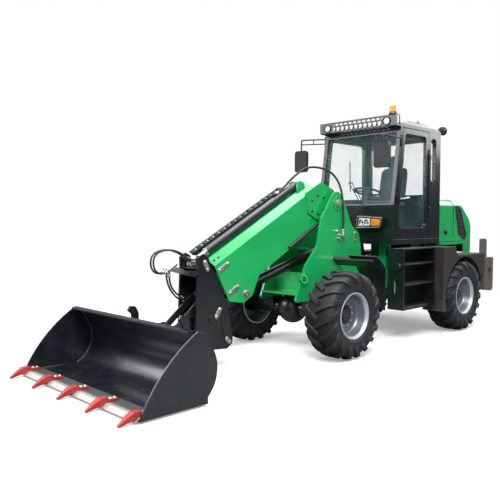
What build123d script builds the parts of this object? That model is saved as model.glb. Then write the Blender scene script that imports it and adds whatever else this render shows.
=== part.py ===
from build123d import *
from math import asin, atan2, cos, degrees, hypot, pi, radians, sin, sqrt
import os

# Overall layout: x forward, y left, z up, millimetres, ground at z = 0
wheelbase = 2800.0
track = 1620.0
rear_overhang = 1020.0
hitch_reach = 100.0
pin_play = 0.3
seat_gap = 0.3
move_gap = 5.0

# Wheels
tyre_radius = 530.0
tyre_width = 406.0
lug_count = 18
lug_height = 36.0
lug_half = 24.0
lug_slant = 70.0
carcass_sides = 20
bead_radius = 262.0
flange_radius = 280.0
flange_t = 15.0
rim_width = 360.0
rim_t = 20.0
hub_radius = 120.0
hub_inset = 65.0
spindle_radius = 50.0
axle_tube = 92.0
axle_ball = 195.0

# Articulation and front frame
tower_half = 315.0
tower_plate = 30.0
tower_low = 430.0
tower_back = 340.0
pivot_back = -520.0
pivot_height = 1890.0
pivot_radius = 45.0
joint_radius = 40.0
joint_eye = 95.0
joint_plate = 30.0
joint_low = 395.0
joint_high = 925.0
steer_limit = 35.0
steer_reach = 230.0
steer_front_y = 215.0
steer_back = 780.0
steer_rear_y = 180.0
steer_z = 760.0
steer_pin = 22.0
shaft_z = 620.0
shaft_ball = 55.0

# Telescopic boom, in its own frame: u forward along the boom, v up, from the boom pivot
boom_half = 200.0
boom_top = 395.0
boom_bottom = -135.0
boom_rear = 200.0
boom_front = 2140.0
boom_wall = 12.0
boom_chamfer = 80.0
inner_half = 165.0
inner_top = 350.0
inner_bottom = -95.0
inner_rear = 640.0
inner_wall = 14.0
tube_end = 1900.0
head_plate = 25.0
coupler_u = 2951.0
coupler_v = -288.0
coupler_height = 250.0
coupler_pin = 35.0
extend_stroke = 1000.0
extend_y = 60.0
extend_v = 452.0
extend_eye = 370.0
extend_pin = 2235.0
chain_y = -110.0
chain_links = 17
chain_pitch = 100.0
lift_stroke_angle = 70.0
lift_base = (-480.0, 1250.0)
lift_eye = (1880.0, -215.0)
rocker_u = 2440.0
rocker_v = -196.0
rocker_arm = 260.0
rocker_rest = 84.5
rocker_pin_radius = 25.0
tilt_base = (1150.0, 60.0)
tilt_back = -40.0
tilt_dump = 105.0
hose_radius = 10.0
boom_hose_radius = 14.0
pipe_radius = 22.0

# Bucket, measured from the coupler pivot
bucket_half = 1110.0
bucket_back = 330.0
bucket_depth = 1170.0
bucket_height = 665.0
bucket_gap = 20.0
bucket_plate = 20.0
bucket_heel = 110.0
tooth_out = 170.0
tooth_count = 5
tooth_half = 36.0

# Cab and rear body: fronts are set from the steering axis, the rest from the rear axle
cab_half = 660.0
cab_ahead = 70.0
cab_behind = 200.0
cab_wall = 50.0
cab_floor_z = 1330.0
cab_floor_t = 70.0
roof_z = 2960.0
roof_rise = 110.0
sill_z = 1880.0
screen_lean = 165.0
quarter_length = 350.0
door_inset = 65.0
door_sill = 1560.0
hinge_pin = 10.0
glass_t = 8.0
rail_y = 330.0
rail_t = 40.0
rail_high = 1000.0
hood_half = 640.0
hood_length = 1140.0
hood_top = 1985.0
hood_wall = 14.0
hood_gap = 30.0
step_ahead = 110.0
step_behind = 660.0
step_plate = 20.0
step_low = 440.0
step_high = 1280.0
arch_radius = 610.0
fender_t = 20.0

# Derived places
boom_reach = hypot(coupler_u, coupler_v)
boom_angle = degrees(asin((coupler_height - pivot_height) / boom_reach) - atan2(coupler_v, coupler_u))
boom_cos = cos(radians(boom_angle))
boom_sin = sin(radians(boom_angle))
aft = -wheelbase
steer = -wheelbase / 2
tower_rear = steer + tower_back
steer_front = (steer + steer_reach, steer_front_y)
steer_rear = (steer - steer_back, steer_rear_y)
cab_front = steer + cab_ahead
cab_rear = aft + cab_behind
door_front = cab_front - door_inset
door_rear = cab_rear + quarter_length
hood_front = cab_rear - hood_gap
hood_rear = hood_front - hood_length
hood_hinge = (hood_front - 65.0, hood_top - 55.0)
tail = aft - rear_overhang
step_front = steer + step_ahead
step_rear = aft + step_behind
step_in = track / 2 - 210.0
step_half = track / 2 + 40.0
fender_half = track / 2 + 175.0
wall_z = cab_floor_z + cab_floor_t


def boom_xz(u, v):
    """A boom point in the frame of the front axle."""
    return (pivot_back + u * boom_cos - v * boom_sin, pivot_height + u * boom_sin + v * boom_cos)


coupler_x, coupler_z = boom_xz(coupler_u, coupler_v)
tip_reach = coupler_x + bucket_depth + tooth_out
rear_reach = wheelbase + rear_overhang + hitch_reach
front_x = (rear_reach - tip_reach) / 2
rear_x = front_x - wheelbase
rocker_pin = boom_xz(rocker_u, rocker_v)
rocker_top = (rocker_pin[0] + rocker_arm * cos(radians(rocker_rest)),
              rocker_pin[1] + rocker_arm * sin(radians(rocker_rest)))
link_pin = (coupler_x + rocker_top[0] - rocker_pin[0], coupler_z + rocker_top[1] - rocker_pin[1])


# Hoses: two loops out to the couplers, two drops back to the head, one arc over the boom's pivot
coupler_y = (-5.0, -55.0)
drop_ends = ((1690.0, 800.0), (1660.0, 750.0))


def boom_route():
    """From the extension cylinder's port back over the boom's pivot and down to the tower."""
    points = []
    for u, v, y in ((759.5, 517, extend_y), (600, 517, extend_y), (430, 570, 75)):
        x, z = boom_xz(u, v)
        points.append((x, y, z))
    return points + [(-170, 110, 2385), (-560, 240, 2310), (-640, 345, 1940), (-606, 345, 1492)]


def loop_route(y):
    """From the head's shelf out, round and back to a coupler's end."""
    x0, z0 = boom_xz(2280, 395.5)
    x1, z1 = boom_xz(2280, 485)
    return [(x0, y, z0), (x1, y, z1), (1960, y, 1330), (2150, y, 1330), (2150, y, 1040), (2007, y, 1125.5)]


def drop_route(y, end):
    """From a coupler's stub down to the far plate of the head."""
    return [(1985, y, 1099.6), (1985, y, 985), (1800, -122, end[1] + 45), (end[0] + 18, -126, end[1] + 3)]


def outline(ring, radius):
    """A closed line through points, with round corners where a radius is given."""
    if radius:
        return FilletPolyline(*ring, radius=radius, close=True)
    return Polyline(*ring, close=True)


def side(points, y0, y1, radius=0.0):
    """A plate of an (x, z) outline between two y planes, x from the front axle."""
    ring = [(front_x + x, y0, z) for x, z in points]
    return extrude(make_face(outline(ring, radius)), amount=y1 - y0, dir=(0, 1, 0))


def plan(points, z0, z1, radius=0.0):
    """A plate of an (x, y) outline between two heights, x from the front axle."""
    ring = [(front_x + x, y, z0) for x, y in points]
    return extrude(make_face(outline(ring, radius)), amount=z1 - z0, dir=(0, 0, 1))


def cross_plate(points, x0, x1, radius=0.0):
    """A plate of a (y, z) outline between two x planes."""
    ring = [(front_x + x0, y, z) for y, z in points]
    return extrude(make_face(outline(ring, radius)), amount=x1 - x0, dir=(1, 0, 0))


def block(x0, x1, y0, y1, z0, z1):
    """A box between two corners, x from the front axle."""
    centre = Pos(front_x + (x0 + x1) / 2, (y0 + y1) / 2, (z0 + z1) / 2)
    return centre * Box(abs(x1 - x0), abs(y1 - y0), abs(z1 - z0))


def bar(start, end, radius):
    """A round bar between two points, x from the front axle."""
    a = Vector(front_x + start[0], start[1], start[2])
    b = Vector(front_x + end[0], end[1], end[2])
    return Solid.make_cylinder(radius, (b - a).length, Plane(origin=a, z_dir=b - a))


def cross_pin(x, z, radius, y0, y1):
    """A pin along y."""
    return bar((x, y0, z), (x, y1, z), radius)


def bent_tube(points, radius, bend):
    """A round tube of straight runs and arcs through points, x from the front axle."""
    line = FilletPolyline(*[(front_x + x, y, z) for x, y, z in points], radius=bend)
    start = Plane(origin=line @ 0, z_dir=line % 0)
    return sweep(start * Circle(radius), path=line)


def boom_side(points, y0, y1, radius=0.0):
    """A plate of a (u, v) outline in the boom's frame."""
    return side([boom_xz(u, v) for u, v in points], y0, y1, radius)


def boom_pin(u, v, radius, y0, y1):
    x, z = boom_xz(u, v)
    return cross_pin(x, z, radius, y0, y1)


def boom_bar(u0, u1, v, y, radius):
    """A round bar along the boom."""
    x0, z0 = boom_xz(u0, v)
    x1, z1 = boom_xz(u1, v)
    return bar((x0, y, z0), (x1, y, z1), radius)


def boom_tube(section, u0, u1):
    """A (y, v) section run along the boom from u0 to u1."""
    ring = []
    for y, v in section:
        x, z = boom_xz(u0, v)
        ring.append((front_x + x, y, z))
    face = make_face(Polyline(*ring, close=True))
    return extrude(face, amount=u1 - u0, dir=(boom_cos, 0, boom_sin))


def both(shape):
    """The shape and its mirror image on the other side."""
    return [shape, mirror(shape, about=Plane.XZ)]


def fuse(*shapes):
    """One body of all the shapes."""
    result = shapes[0]
    for shape in shapes[1:]:
        result = result + shape
    return result


def group(shapes):
    """Separate solids in one node."""
    solids = []
    for shape in shapes:
        solids.extend(shape.solids())
    return Compound(children=solids)


def spin(profile):
    """A (y, r) profile turned about the y axis."""
    face = make_face(Polyline(*[(0, y, r) for y, r in profile], close=True))
    return revolve(face, axis=Axis.Y)


def facet_ring(radius, y):
    """A flat face with the carcass's number of sides."""
    ring = []
    for i in range(carcass_sides):
        a = 2 * pi * i / carcass_sides
        ring.append((radius * sin(a), y, radius * cos(a)))
    return make_face(Polyline(*ring, close=True))


def tyre():
    """A faceted carcass with slanted bars that meet in turn at the crown."""
    half = tyre_width / 2
    bead = rim_width / 2 - flange_t - seat_gap
    crown = tyre_radius - lug_height
    steps = [(bead, flange_radius + 4), (half - 2, bead_radius + 110), (half - 34, crown)]
    far = [facet_ring(r, -y) for y, r in steps]
    near = [facet_ring(r, y) for y, r in reversed(steps)]
    body = loft(far + near, ruled=True)
    foot = crown - 45
    top = sqrt(tyre_radius ** 2 - (lug_slant + lug_half) ** 2)
    lugs = []
    for s in (-1, 1):
        ring = [(lug_slant - lug_half, -s * 10, foot), (lug_slant + lug_half, -s * 10, foot),
                (lug_half - lug_slant, s * (half - 12), foot), (-lug_half - lug_slant, s * (half - 12), foot)]
        lug = extrude(make_face(Polyline(*ring, close=True)), amount=top - foot, dir=(0, 0, 1))
        for i in range(lug_count):
            lugs.append(Rot(0, (i + (0.5 if s < 0 else 0)) * 360 / lug_count, 0) * lug)
    body = body.fuse(*lugs)
    bore = facet_ring(bead_radius / cos(pi / carcass_sides), -tyre_width)
    return body - extrude(bore, amount=2 * tyre_width, dir=(0, 1, 0))


def rim():
    edge = rim_width / 2
    lip = edge - flange_t
    seat = bead_radius - seat_gap
    inner = -edge + hub_inset
    disc = 30.0
    cup = seat - rim_t
    ring = [(inner, spindle_radius + pin_play), (inner, hub_radius), (14, hub_radius), (14, cup - 18)]
    ring += [(-lip, cup + 2), (-edge, seat), (-edge, flange_radius), (-lip, flange_radius), (-lip, seat)]
    ring += [(lip, seat), (lip, flange_radius), (edge, flange_radius), (edge, seat + 6), (edge - 50, cup + 4)]
    ring += [(2 * disc, cup - 16), (disc, cup - 16), (disc, 85), (hub_inset, 85), (hub_inset, 0), (-15, 0)]
    return spin(ring + [(-15, spindle_radius + pin_play)])


def axle(x, nose):
    """A rigid drive axle at x, its pinion side towards nose."""
    inner = track / 2 - rim_width / 2 + hub_inset
    z = tyre_radius
    body = Pos(front_x + x, 0, z) * Sphere(axle_ball)
    pad = tower_half - 65.0
    for s in (-1, 1):
        body += bar((x, s * 120, z), (x, s * (inner - 130), z), axle_tube)
        body += bar((x, s * (inner - 150), z), (x, s * (inner - seat_gap), z), axle_tube + 20)
        body += bar((x, s * (inner - 90), z), (x, s * (inner + 95), z), spindle_radius)
        body += block(x - 110, x + 110, s * pad, s * (pad + 100), z, z + 120)
    body += bar((x, 0, z), (x + nose * 330, 0, z), 75)
    start = Vector(x + nose * 310, 0, z)
    joint = Vector(steer, 0, shaft_z)
    run = (joint - start).normalized()
    if nose < 0:
        return body + bar(tuple(start), tuple(joint - run * (shaft_ball + 0.5)), 40)
    return body + bar(tuple(start), tuple(joint), 40) + Pos(front_x + steer, 0, shaft_z) * Sphere(shaft_ball)


def steer_lug(x0, x1, y0, y1):
    """Two plates above and below a steering cylinder's eye."""
    body = block(x0, x1, y0, y1, steer_z - 75, steer_z - 45)
    return body + block(x0, x1, y0, y1, steer_z + 45, steer_z + 75)


def front_frame():
    z0 = tower_low
    seat = tyre_radius + 120
    inside = tower_half - tower_plate
    ring = [(311, seat), (126, 1086), (-110, 1340), (-200, 1700), (-440, 2020), (-540, 2045), (-630, 1990)]
    ring += [(tower_rear + 210, 1590), (tower_rear + 60, 1500), (tower_rear, 1300), (tower_rear, z0),
             (-420, z0)]
    body = fuse(*both(side(ring + [(-180, seat)], inside, tower_half, 30)))
    back = block(tower_rear, tower_rear + 25, -inside, inside, z0, 1300)
    body += back - bar((tower_rear - 5, 0, shaft_z - 20), (tower_rear + 30, 0, shaft_z - 20), 85)
    body += block(-170, 290, -inside, inside, seat + 85, seat + 110)
    body += block(tower_rear, -420, -inside, inside, z0, z0 + 25)
    body += block(10, 40, -inside, inside, seat + 85, 1000)
    for s in (-1, 1):
        body += cross_pin(pivot_back, pivot_height, 90, s * inside, s * (tower_half + 12))
    body += cross_pin(pivot_back, pivot_height, pivot_radius, -tower_half - 25, tower_half + 25)
    body += cross_pin(lift_base[0], lift_base[1], 40, -tower_half, tower_half)
    body += cross_pin(-606, 1465, 26, tower_half - 5, tower_half + 50)
    eye = [(tower_rear, -190), (tower_rear, 190), (steer + 100, joint_eye), (steer + 100, -joint_eye)]
    for z in (z0, joint_high + 35):
        ear = plan(eye, z, z + 50) + bar((steer, 0, z), (steer, 0, z + 50), joint_eye)
        ear += block(steer, steer + 110, -joint_eye, joint_eye, z, z + 50)
        body += ear - bar((steer, 0, z - 5), (steer, 0, z + 55), joint_radius + pin_play)
    x, y = steer_front
    return body + steer_lug(x - 55, tower_rear, y - 55, y + 55)


def front_fenders():
    """Sheet behind each front tyre, an arc about the wheel's axle, held by an arm from the tower."""
    outer = tyre_radius + 285.0
    start, end = 121.0, 182.0
    y0, y1 = track / 2 - 240.0, track / 2 + 195.0
    points = []
    for r, angles in ((outer, (start, (start + end) / 2, end)), (outer - 15, (end, (start + end) / 2,
                                                                              start))):
        points.append([(front_x + r * cos(radians(a)), y0,
                        tyre_radius + r * sin(radians(a))) for a in angles])
    top, low = points
    edges = [ThreePointArc(*top), Line(top[2], low[0]), ThreePointArc(*low), Line(low[2], top[0])]
    sheet = extrude(make_face(edges), amount=y1 - y0, dir=(0, 1, 0))
    corner = [(-outer - 20, y0 - 5), (-outer - 20, y1 - 150), (-outer * 0.75, y1), (0, y1), (0, y0 - 5)]
    sheet = sheet & plan(corner, 0, 2 * tyre_radius + 600)
    arm = []
    for r, a in ((outer - 55, 124), (outer - 55, 134), (outer - 7, 134), (outer - 7, 124)):
        arm.append((r * cos(radians(a)), tyre_radius + r * sin(radians(a))))
    return group(both(sheet + side(arm, tower_half, y1 - 60)))


def boom_section(half, top, bottom, corner, inset):
    """A box section with its upper corners cut, drawn in by inset."""
    i = inset
    cut = corner + i / 2
    return [(i - half, bottom + i), (half - i, bottom + i), (half - i, top - cut), (half - cut, top - i),
            (cut - half, top - i), (i - half, top - cut)]


def boom_outer():
    section = (boom_half, boom_top, boom_bottom, boom_chamfer)
    body = boom_tube(boom_section(*section, 0), boom_rear, boom_front)
    body -= boom_tube(boom_section(*section, boom_wall), boom_rear + 60, boom_front + 10)
    cheek = [(400, 354), (486, 115), (359, -60), (60, -125), (-90, -100), (-140, 20), (-110, 150), (72, 345)]
    web = [(lift_eye[0] - 320, boom_bottom + 20), (boom_front, boom_bottom + 20), (boom_front,
                                                                                   boom_bottom - 15),
           (lift_eye[0] + 80, lift_eye[1] - 75), (lift_eye[0] - 80, lift_eye[1] - 75)]
    ear = [(extend_eye - 70, boom_top - 20), (extend_eye - 70, extend_v), (extend_eye - 25, extend_v + 48),
           (extend_eye + 30, extend_v + 48), (extend_eye + 90, extend_v - 22), (extend_eye + 100,
                                                                                boom_top - 20)]
    inside = boom_half - boom_wall + 1
    pad = inner_half + 0.5
    for s in (-1, 1):
        body += boom_side(cheek, s * (boom_half - 2), s * (boom_half + 24), 25)
        body += boom_side(web, s * (boom_half - 24), s * boom_half)
        body += boom_side(ear, extend_y + s * 60, extend_y + s * 80)
        section = [(s * pad, inner_bottom + 40), (s * inside, inner_bottom + 40), (s * inside,
                                                                                   inner_top - 120),
                   (s * pad, inner_top - 120)]
        body += boom_tube(section, boom_front - 150, boom_front)
    body += boom_pin(extend_eye, extend_v, 25, extend_y - 80, extend_y + 80)
    for half, outer, inner in ((100, boom_bottom + boom_wall - 1, inner_bottom - 0.5),
                               (90, boom_top - boom_wall + 1, inner_top + 0.5)):
        section = [(-half, outer), (half, outer), (half, inner), (-half, inner)]
        body += boom_tube(section, boom_front - 150, boom_front)
    return body - boom_pin(0, 0, pivot_radius + pin_play, -400, 400)


def extension_barrel():
    body = boom_bar(extend_eye + 40, boom_front - 60, extend_v, extend_y, 50)
    body += boom_bar(extend_eye, extend_eye + 50, extend_v, extend_y, 45)
    body += boom_pin(extend_eye, extend_v, 45, extend_y - 55, extend_y + 55)
    body -= boom_pin(extend_eye, extend_v, 25 + pin_play, extend_y - 60, extend_y + 60)
    body += boom_side([(760, 490), (800, 490), (800, 530), (760, 530)], extend_y - 18, extend_y + 18)
    return body - boom_bar(900, boom_front - 50, extend_v, extend_y, 30 + pin_play)


def extension_rod():
    body = boom_bar(950, extend_pin, extend_v, extend_y, 30)
    body += boom_pin(extend_pin, extend_v, 45, extend_y - 40, extend_y + 40)
    return body - boom_pin(extend_pin, extend_v, 25 + pin_play, extend_y - 60, extend_y + 60)


def boom_lines():
    """A chain of slanted links on a tray along the boom's top, and a pipe low on each side."""
    start = boom_front - chain_links * chain_pitch
    base = boom_top + seat_gap
    tray = [(chain_y - 55, base), (chain_y + 45, base), (chain_y + 45, base + 18), (chain_y - 55, base + 18)]
    body = boom_tube(tray, start, boom_front)
    for i in range(chain_links):
        u = start + i * chain_pitch
        link = [(u + 4, base + 10), (u + 62, base + 10), (u + 92, base + 82), (u + 34, base + 82)]
        body += boom_side(link, chain_y - 50, chain_y + 40)
    y = boom_half + pipe_radius + seat_gap
    pipe = boom_bar(390, 1000, boom_bottom + 30, y, pipe_radius)
    return group([body] + both(pipe))


def boom_head():
    section = (inner_half, inner_top, inner_bottom, 60.0)
    body = boom_tube(boom_section(*section, 0), inner_rear, tube_end)
    body -= boom_tube(boom_section(*section, inner_wall), inner_rear - 10, tube_end + 10)
    mouth = boom_front + 2 * move_gap
    plate = [(tube_end - 100, inner_bottom), (tube_end - 100, inner_top - 70), (mouth, inner_top - 70),
             (mouth, 440),
             (2190, 500), (2280, 500), (2330, 400), (2690, -205), (coupler_u + 34, coupler_v + 73),
             (coupler_u + 74, coupler_v - 2), (coupler_u + 19, coupler_v - 74), (coupler_u - 151,
                                                                                 coupler_v - 84),
             (2400, -625), (2310, -620), (2265, -560), (mouth, boom_bottom - 5), (mouth, inner_bottom)]
    for s in (-1, 1):
        body += boom_side(plate, s * (inner_half - head_plate), s * inner_half)
        rib = [(2262, -150), (2290, -150), (2400, -560), (2372, -560)]
        body += boom_side(rib, s * (inner_half - 2), s * (inner_half + 8))
    shelf = inner_half - head_plate + 1
    body += boom_side([(2165, 395), (2165, 380), (2325, 380), (2325, 395)], -shelf, shelf)
    body += boom_side([(2300, -610), (2320, -620), (2700, -420), (2690, -400)], -shelf, shelf)
    body += boom_side([(2325, 290), (2345, 290), (2345, 360), (2325, 360)], -shelf, shelf)
    for x, z in drop_ends:
        body += cross_pin(x, z, 16, -shelf, -112)
    body += boom_pin(extend_pin, extend_v, 25, -inner_half, inner_half)
    body += boom_pin(rocker_u, rocker_v, coupler_pin, -inner_half - 12, inner_half + 12)
    body += boom_pin(coupler_u, coupler_v, coupler_pin, -inner_half - 12, inner_half + 12)
    return body + boom_pin(tilt_base[0], tilt_base[1], 30, -inner_half, inner_half)


def link_strip(a, b, r, y0, y1):
    """A strip with round ends over two pins."""
    strip = cross_pin(a[0], a[1], r, y0, y1) + cross_pin(b[0], b[1], r, y0, y1)
    d = hypot(b[0] - a[0], b[1] - a[1])
    n = ((a[1] - b[1]) / d * r, (b[0] - a[0]) / d * r)
    ring = [(a[0] + n[0], a[1] + n[1]), (b[0] + n[0], b[1] + n[1]), (b[0] - n[0], b[1] - n[1]),
            (a[0] - n[0], a[1] - n[1])]
    return strip + side(ring, y0, y1)


def rocker():
    body = cross_pin(rocker_pin[0], rocker_pin[1], 62, -80, 80)
    for s in (-1, 1):
        body += link_strip(rocker_pin, rocker_top, 48, s * 55, s * 80)
        body += cross_pin(rocker_top[0], rocker_top[1], rocker_pin_radius, s * 55, s * 106)
    return body - cross_pin(rocker_pin[0], rocker_pin[1], coupler_pin + pin_play, -90, 90)


def tilt_link():
    strips = []
    for s in (-1, 1):
        strip = link_strip(rocker_top, link_pin, 36, s * 85, s * 105)
        strips.append(strip - cross_pin(rocker_top[0], rocker_top[1], rocker_pin_radius + pin_play, -120,
                                        120))
    return fuse(*strips, cross_pin(link_pin[0], link_pin[1], 30, -106, 106))


def along(start, end, t):
    """The point at distance t from start towards end, both (x, z)."""
    d = hypot(end[0] - start[0], end[1] - start[1])
    return (start[0] + (end[0] - start[0]) * t / d, 0, start[1] + (end[1] - start[1]) * t / d)


def tilt_barrel():
    a = boom_xz(*tilt_base)
    body = bar(along(a, rocker_top, 40), along(a, rocker_top, 830), 55) + cross_pin(a[0], a[1], 50, -60, 60)
    body -= cross_pin(a[0], a[1], 30 + pin_play, -80, 80)
    return body - bar(along(a, rocker_top, 120), along(a, rocker_top, 840), 30 + pin_play)


def tilt_rod():
    a = boom_xz(*tilt_base)
    x, z = rocker_top
    body = bar(along(a, rocker_top, 330), along(rocker_top, a, 20), 30) + cross_pin(x, z, 44, -40, 40)
    return body - cross_pin(x, z, rocker_pin_radius + pin_play, -50, 50)


def lift_barrel():
    x, z = lift_base
    e = boom_xz(*lift_eye)
    body = bar(along(lift_base, e, 50), along(lift_base, e, 1300), 66)
    body += bar(along(lift_base, e, 1240), along(lift_base, e, 1310), 74)
    body += cross_pin(x, z, 70, -60, 60)
    body -= cross_pin(x, z, 40 + pin_play, -80, 80)
    return body - bar(along(lift_base, e, 180), along(lift_base, e, 1320), 38 + pin_play)


def lift_rod():
    e = boom_xz(*lift_eye)
    body = bar(along(lift_base, e, 330), along(e, lift_base, 30), 38)
    body += cross_pin(e[0], e[1], 62, -60, 60)
    return body + cross_pin(e[0], e[1], 35, -150, 150)


def quick_coupler():
    c = (coupler_x, coupler_z)
    t = link_pin
    front = coupler_x + 130
    low = bucket_gap + 60
    parts = []
    for s in (-1, 1):
        lug = link_strip(c, t, 55, s * 111, s * 134)
        web = [(c[0], c[1] - 55), (front + 20, c[1] - 90), (front + 20, t[1] + 40), (t[0], t[1] + 55)]
        lug += side(web, s * 111, s * 134)
        lug -= cross_pin(c[0], c[1], coupler_pin + pin_play, -300, 300)
        lug -= cross_pin(t[0], t[1], 30 + pin_play, -300, 300)
        parts.append(lug)
        parts.append(block(front, front + 60, s * 300, s * 330, low, t[1] + 60))
        hook = [(front, t[1] - 40), (front, t[1] + 130), (front + 40, t[1] + 205), (front + 110, t[1] + 215),
                (front + 140, t[1] + 170), (front + 90, t[1] + 120), (front + 60, t[1] - 40)]
        parts.append(side(hook, s * 440, s * 470, 14))
    parts.append(block(front, front + 50, -480, 480, t[1] - 40, t[1] + 60))
    parts.append(block(front, front + 60, -480, 480, low, low + 90))
    return fuse(*parts)


def bucket_arc():
    """Centre and radius of the bucket's round back, from three points on it."""
    x = coupler_x + bucket_back
    z = bucket_gap
    (ax, az), (bx, bz), (dx, dz) = (x + bucket_heel, z + 60), (x, z + 260), (x + 40, z + 0.72 * bucket_height)
    k = 2 * (ax * (bz - dz) + bx * (dz - az) + dx * (az - bz))
    a2, b2, d2 = ax * ax + az * az, bx * bx + bz * bz, dx * dx + dz * dz
    cx = (a2 * (bz - dz) + b2 * (dz - az) + d2 * (az - bz)) / k
    cz = (a2 * (dx - bx) + b2 * (ax - dx) + d2 * (bx - ax)) / k
    return cx, cz, hypot(ax - cx, az - cz)


def bucket_back_points(inset, low, high):
    """Three points of the round back, drawn in by inset, from angle low to angle high."""
    cx, cz, r = bucket_arc()
    angles = (low, (low + high) / 2, high)
    return [(cx + (r - inset) * cos(a), cz + (r - inset) * sin(a)) for a in angles]


def at_y(points, y):
    """(x, z) points from the front axle, on the plane y."""
    return [(front_x + x, y, z) for x, z in points]


def bucket():
    """A rolled shell with its heel, lip and side plates."""
    x = coupler_x + bucket_back
    z = bucket_gap
    t = bucket_plate
    front = coupler_x + bucket_depth
    cx, cz, r = bucket_arc()
    heel = (x + bucket_heel, z + 60)
    start = atan2(heel[1] - cz, heel[0] - cx) + 2 * pi
    end = atan2(z + 0.72 * bucket_height - cz, x + 40 - cx)
    lip = (x + 200, z + bucket_height)
    neck = (x + 129, z + bucket_height - 29)
    foot = sqrt((r - t) ** 2 - (cz - z - t) ** 2)
    floor_end = atan2(z + t - cz, -foot) + 2 * pi
    y = -bucket_half
    back = at_y(bucket_back_points(0, start, end), y)
    face = at_y(bucket_back_points(t, end, floor_end), y)
    bottom = at_y([(front, z), (x + bucket_heel, z), heel], y)
    upper = at_y([neck, lip, (lip[0] + 6, lip[1] - t), (neck[0] + 17, neck[1] - 10)], y)
    close = at_y([(front, z + t), (front, z)], y)
    edges = [Polyline(*bottom), ThreePointArc(*back), Polyline(back[2], *upper, face[0]),
             ThreePointArc(*face),
             Polyline(face[2], *close)]
    shell = extrude(make_face(edges), amount=2 * bucket_half, dir=(0, 1, 0))
    bar_lip = [lip, (lip[0] + 90, lip[1] + 4), (lip[0] + 90, lip[1] - 16), (lip[0] - 8, lip[1] - 24)]
    shell += side(bar_lip, -bucket_half + 60, bucket_half - 60)
    corner = (lip[0] + 20, lip[1])
    bulge = ((corner[0] + front) / 2 + 45, (corner[1] + z) / 2 + 55)
    for s in (-1, 1):
        y = s * bucket_half
        back = at_y(bucket_back_points(0, start, end), y)
        low = at_y([(front, z), (x + bucket_heel, z), heel], y)
        high = at_y([neck, lip, corner], y)
        bow = ThreePointArc(*at_y([corner, bulge, (front, z)], y))
        edges = [Polyline(*low), ThreePointArc(*back), Polyline(back[2], *high), bow]
        shell += extrude(make_face(edges), amount=t, dir=(0, -s, 0))
        hold = coupler_x + 190 + seat_gap
        ring = [(hold, z + 80)] + bucket_back_points(10, radians(215), radians(189))
        ring += bucket_back_points(10, radians(175), radians(152)) + [(hold, z + 500)]
        shell += side(ring, s * 380, s * 410)
    return shell


def cutting_edge():
    front = coupler_x + bucket_depth
    z = bucket_gap + bucket_plate
    ring = [(front - 190, z), (front - 190, z + 16), (front - 20, z + 16), (front + 30, z - 14),
            (front + 30, z - 20),
            (front + seat_gap, z - 20), (front + seat_gap, z)]
    half = bucket_half - bucket_plate - seat_gap
    return side(ring, -half, half)


def bucket_teeth():
    """Bolted teeth that hook down and narrow to their points."""
    front = coupler_x + bucket_depth
    z = bucket_gap + bucket_plate + 16
    tip = front + tooth_out
    ring = [(front - 150, z), (front - 150, z + 22), (front - 60, z + 26), (front - 35, z + 48),
            (front + 30, z + 46),
            (front + 90, z + 14), (tip, z - 40), (tip - 8, z - 52), (front + 31, z - 16), (front - 19, z)]
    pitch = 2 * (bucket_half - tooth_half - 29) / (tooth_count - 1)
    solids = []
    for i in range(tooth_count):
        y = -bucket_half + tooth_half + 29 + i * pitch
        taper = [(front - 160, y - tooth_half), (front + 40, y - tooth_half), (tip + 2, y - 12), (tip + 2,
                                                                                                  y + 12),
                 (front + 40, y + tooth_half), (front - 160, y + tooth_half)]
        solids.append(side(ring, y - tooth_half, y + tooth_half) & plan(taper, 0, z + 100))
    return group(solids)


def upright(q, r, h):
    """A pin along z at a steering eye."""
    return bar((q.X, q.Y, steer_z - h), (q.X, q.Y, steer_z + h), r)


def steer_cylinder():
    """Barrel and rod of the steering cylinder on the left of the joint."""
    a = Vector(steer_rear[0], steer_rear[1], steer_z)
    b = Vector(steer_front[0], steer_front[1], steer_z)
    d = (b - a).normalized()
    barrel = bar(tuple(a + d * 30), tuple(a + d * 690), 40) + upright(a, 40, 40)
    barrel -= upright(a, steer_pin + pin_play, 60)
    barrel -= bar(tuple(a + d * 120), tuple(a + d * 700), 25 + pin_play)
    rod = bar(tuple(a + d * 270), tuple(b - d * 20), 25) + upright(b, 40, 40)
    return barrel, rod - upright(b, steer_pin + pin_play, 60)


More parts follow.
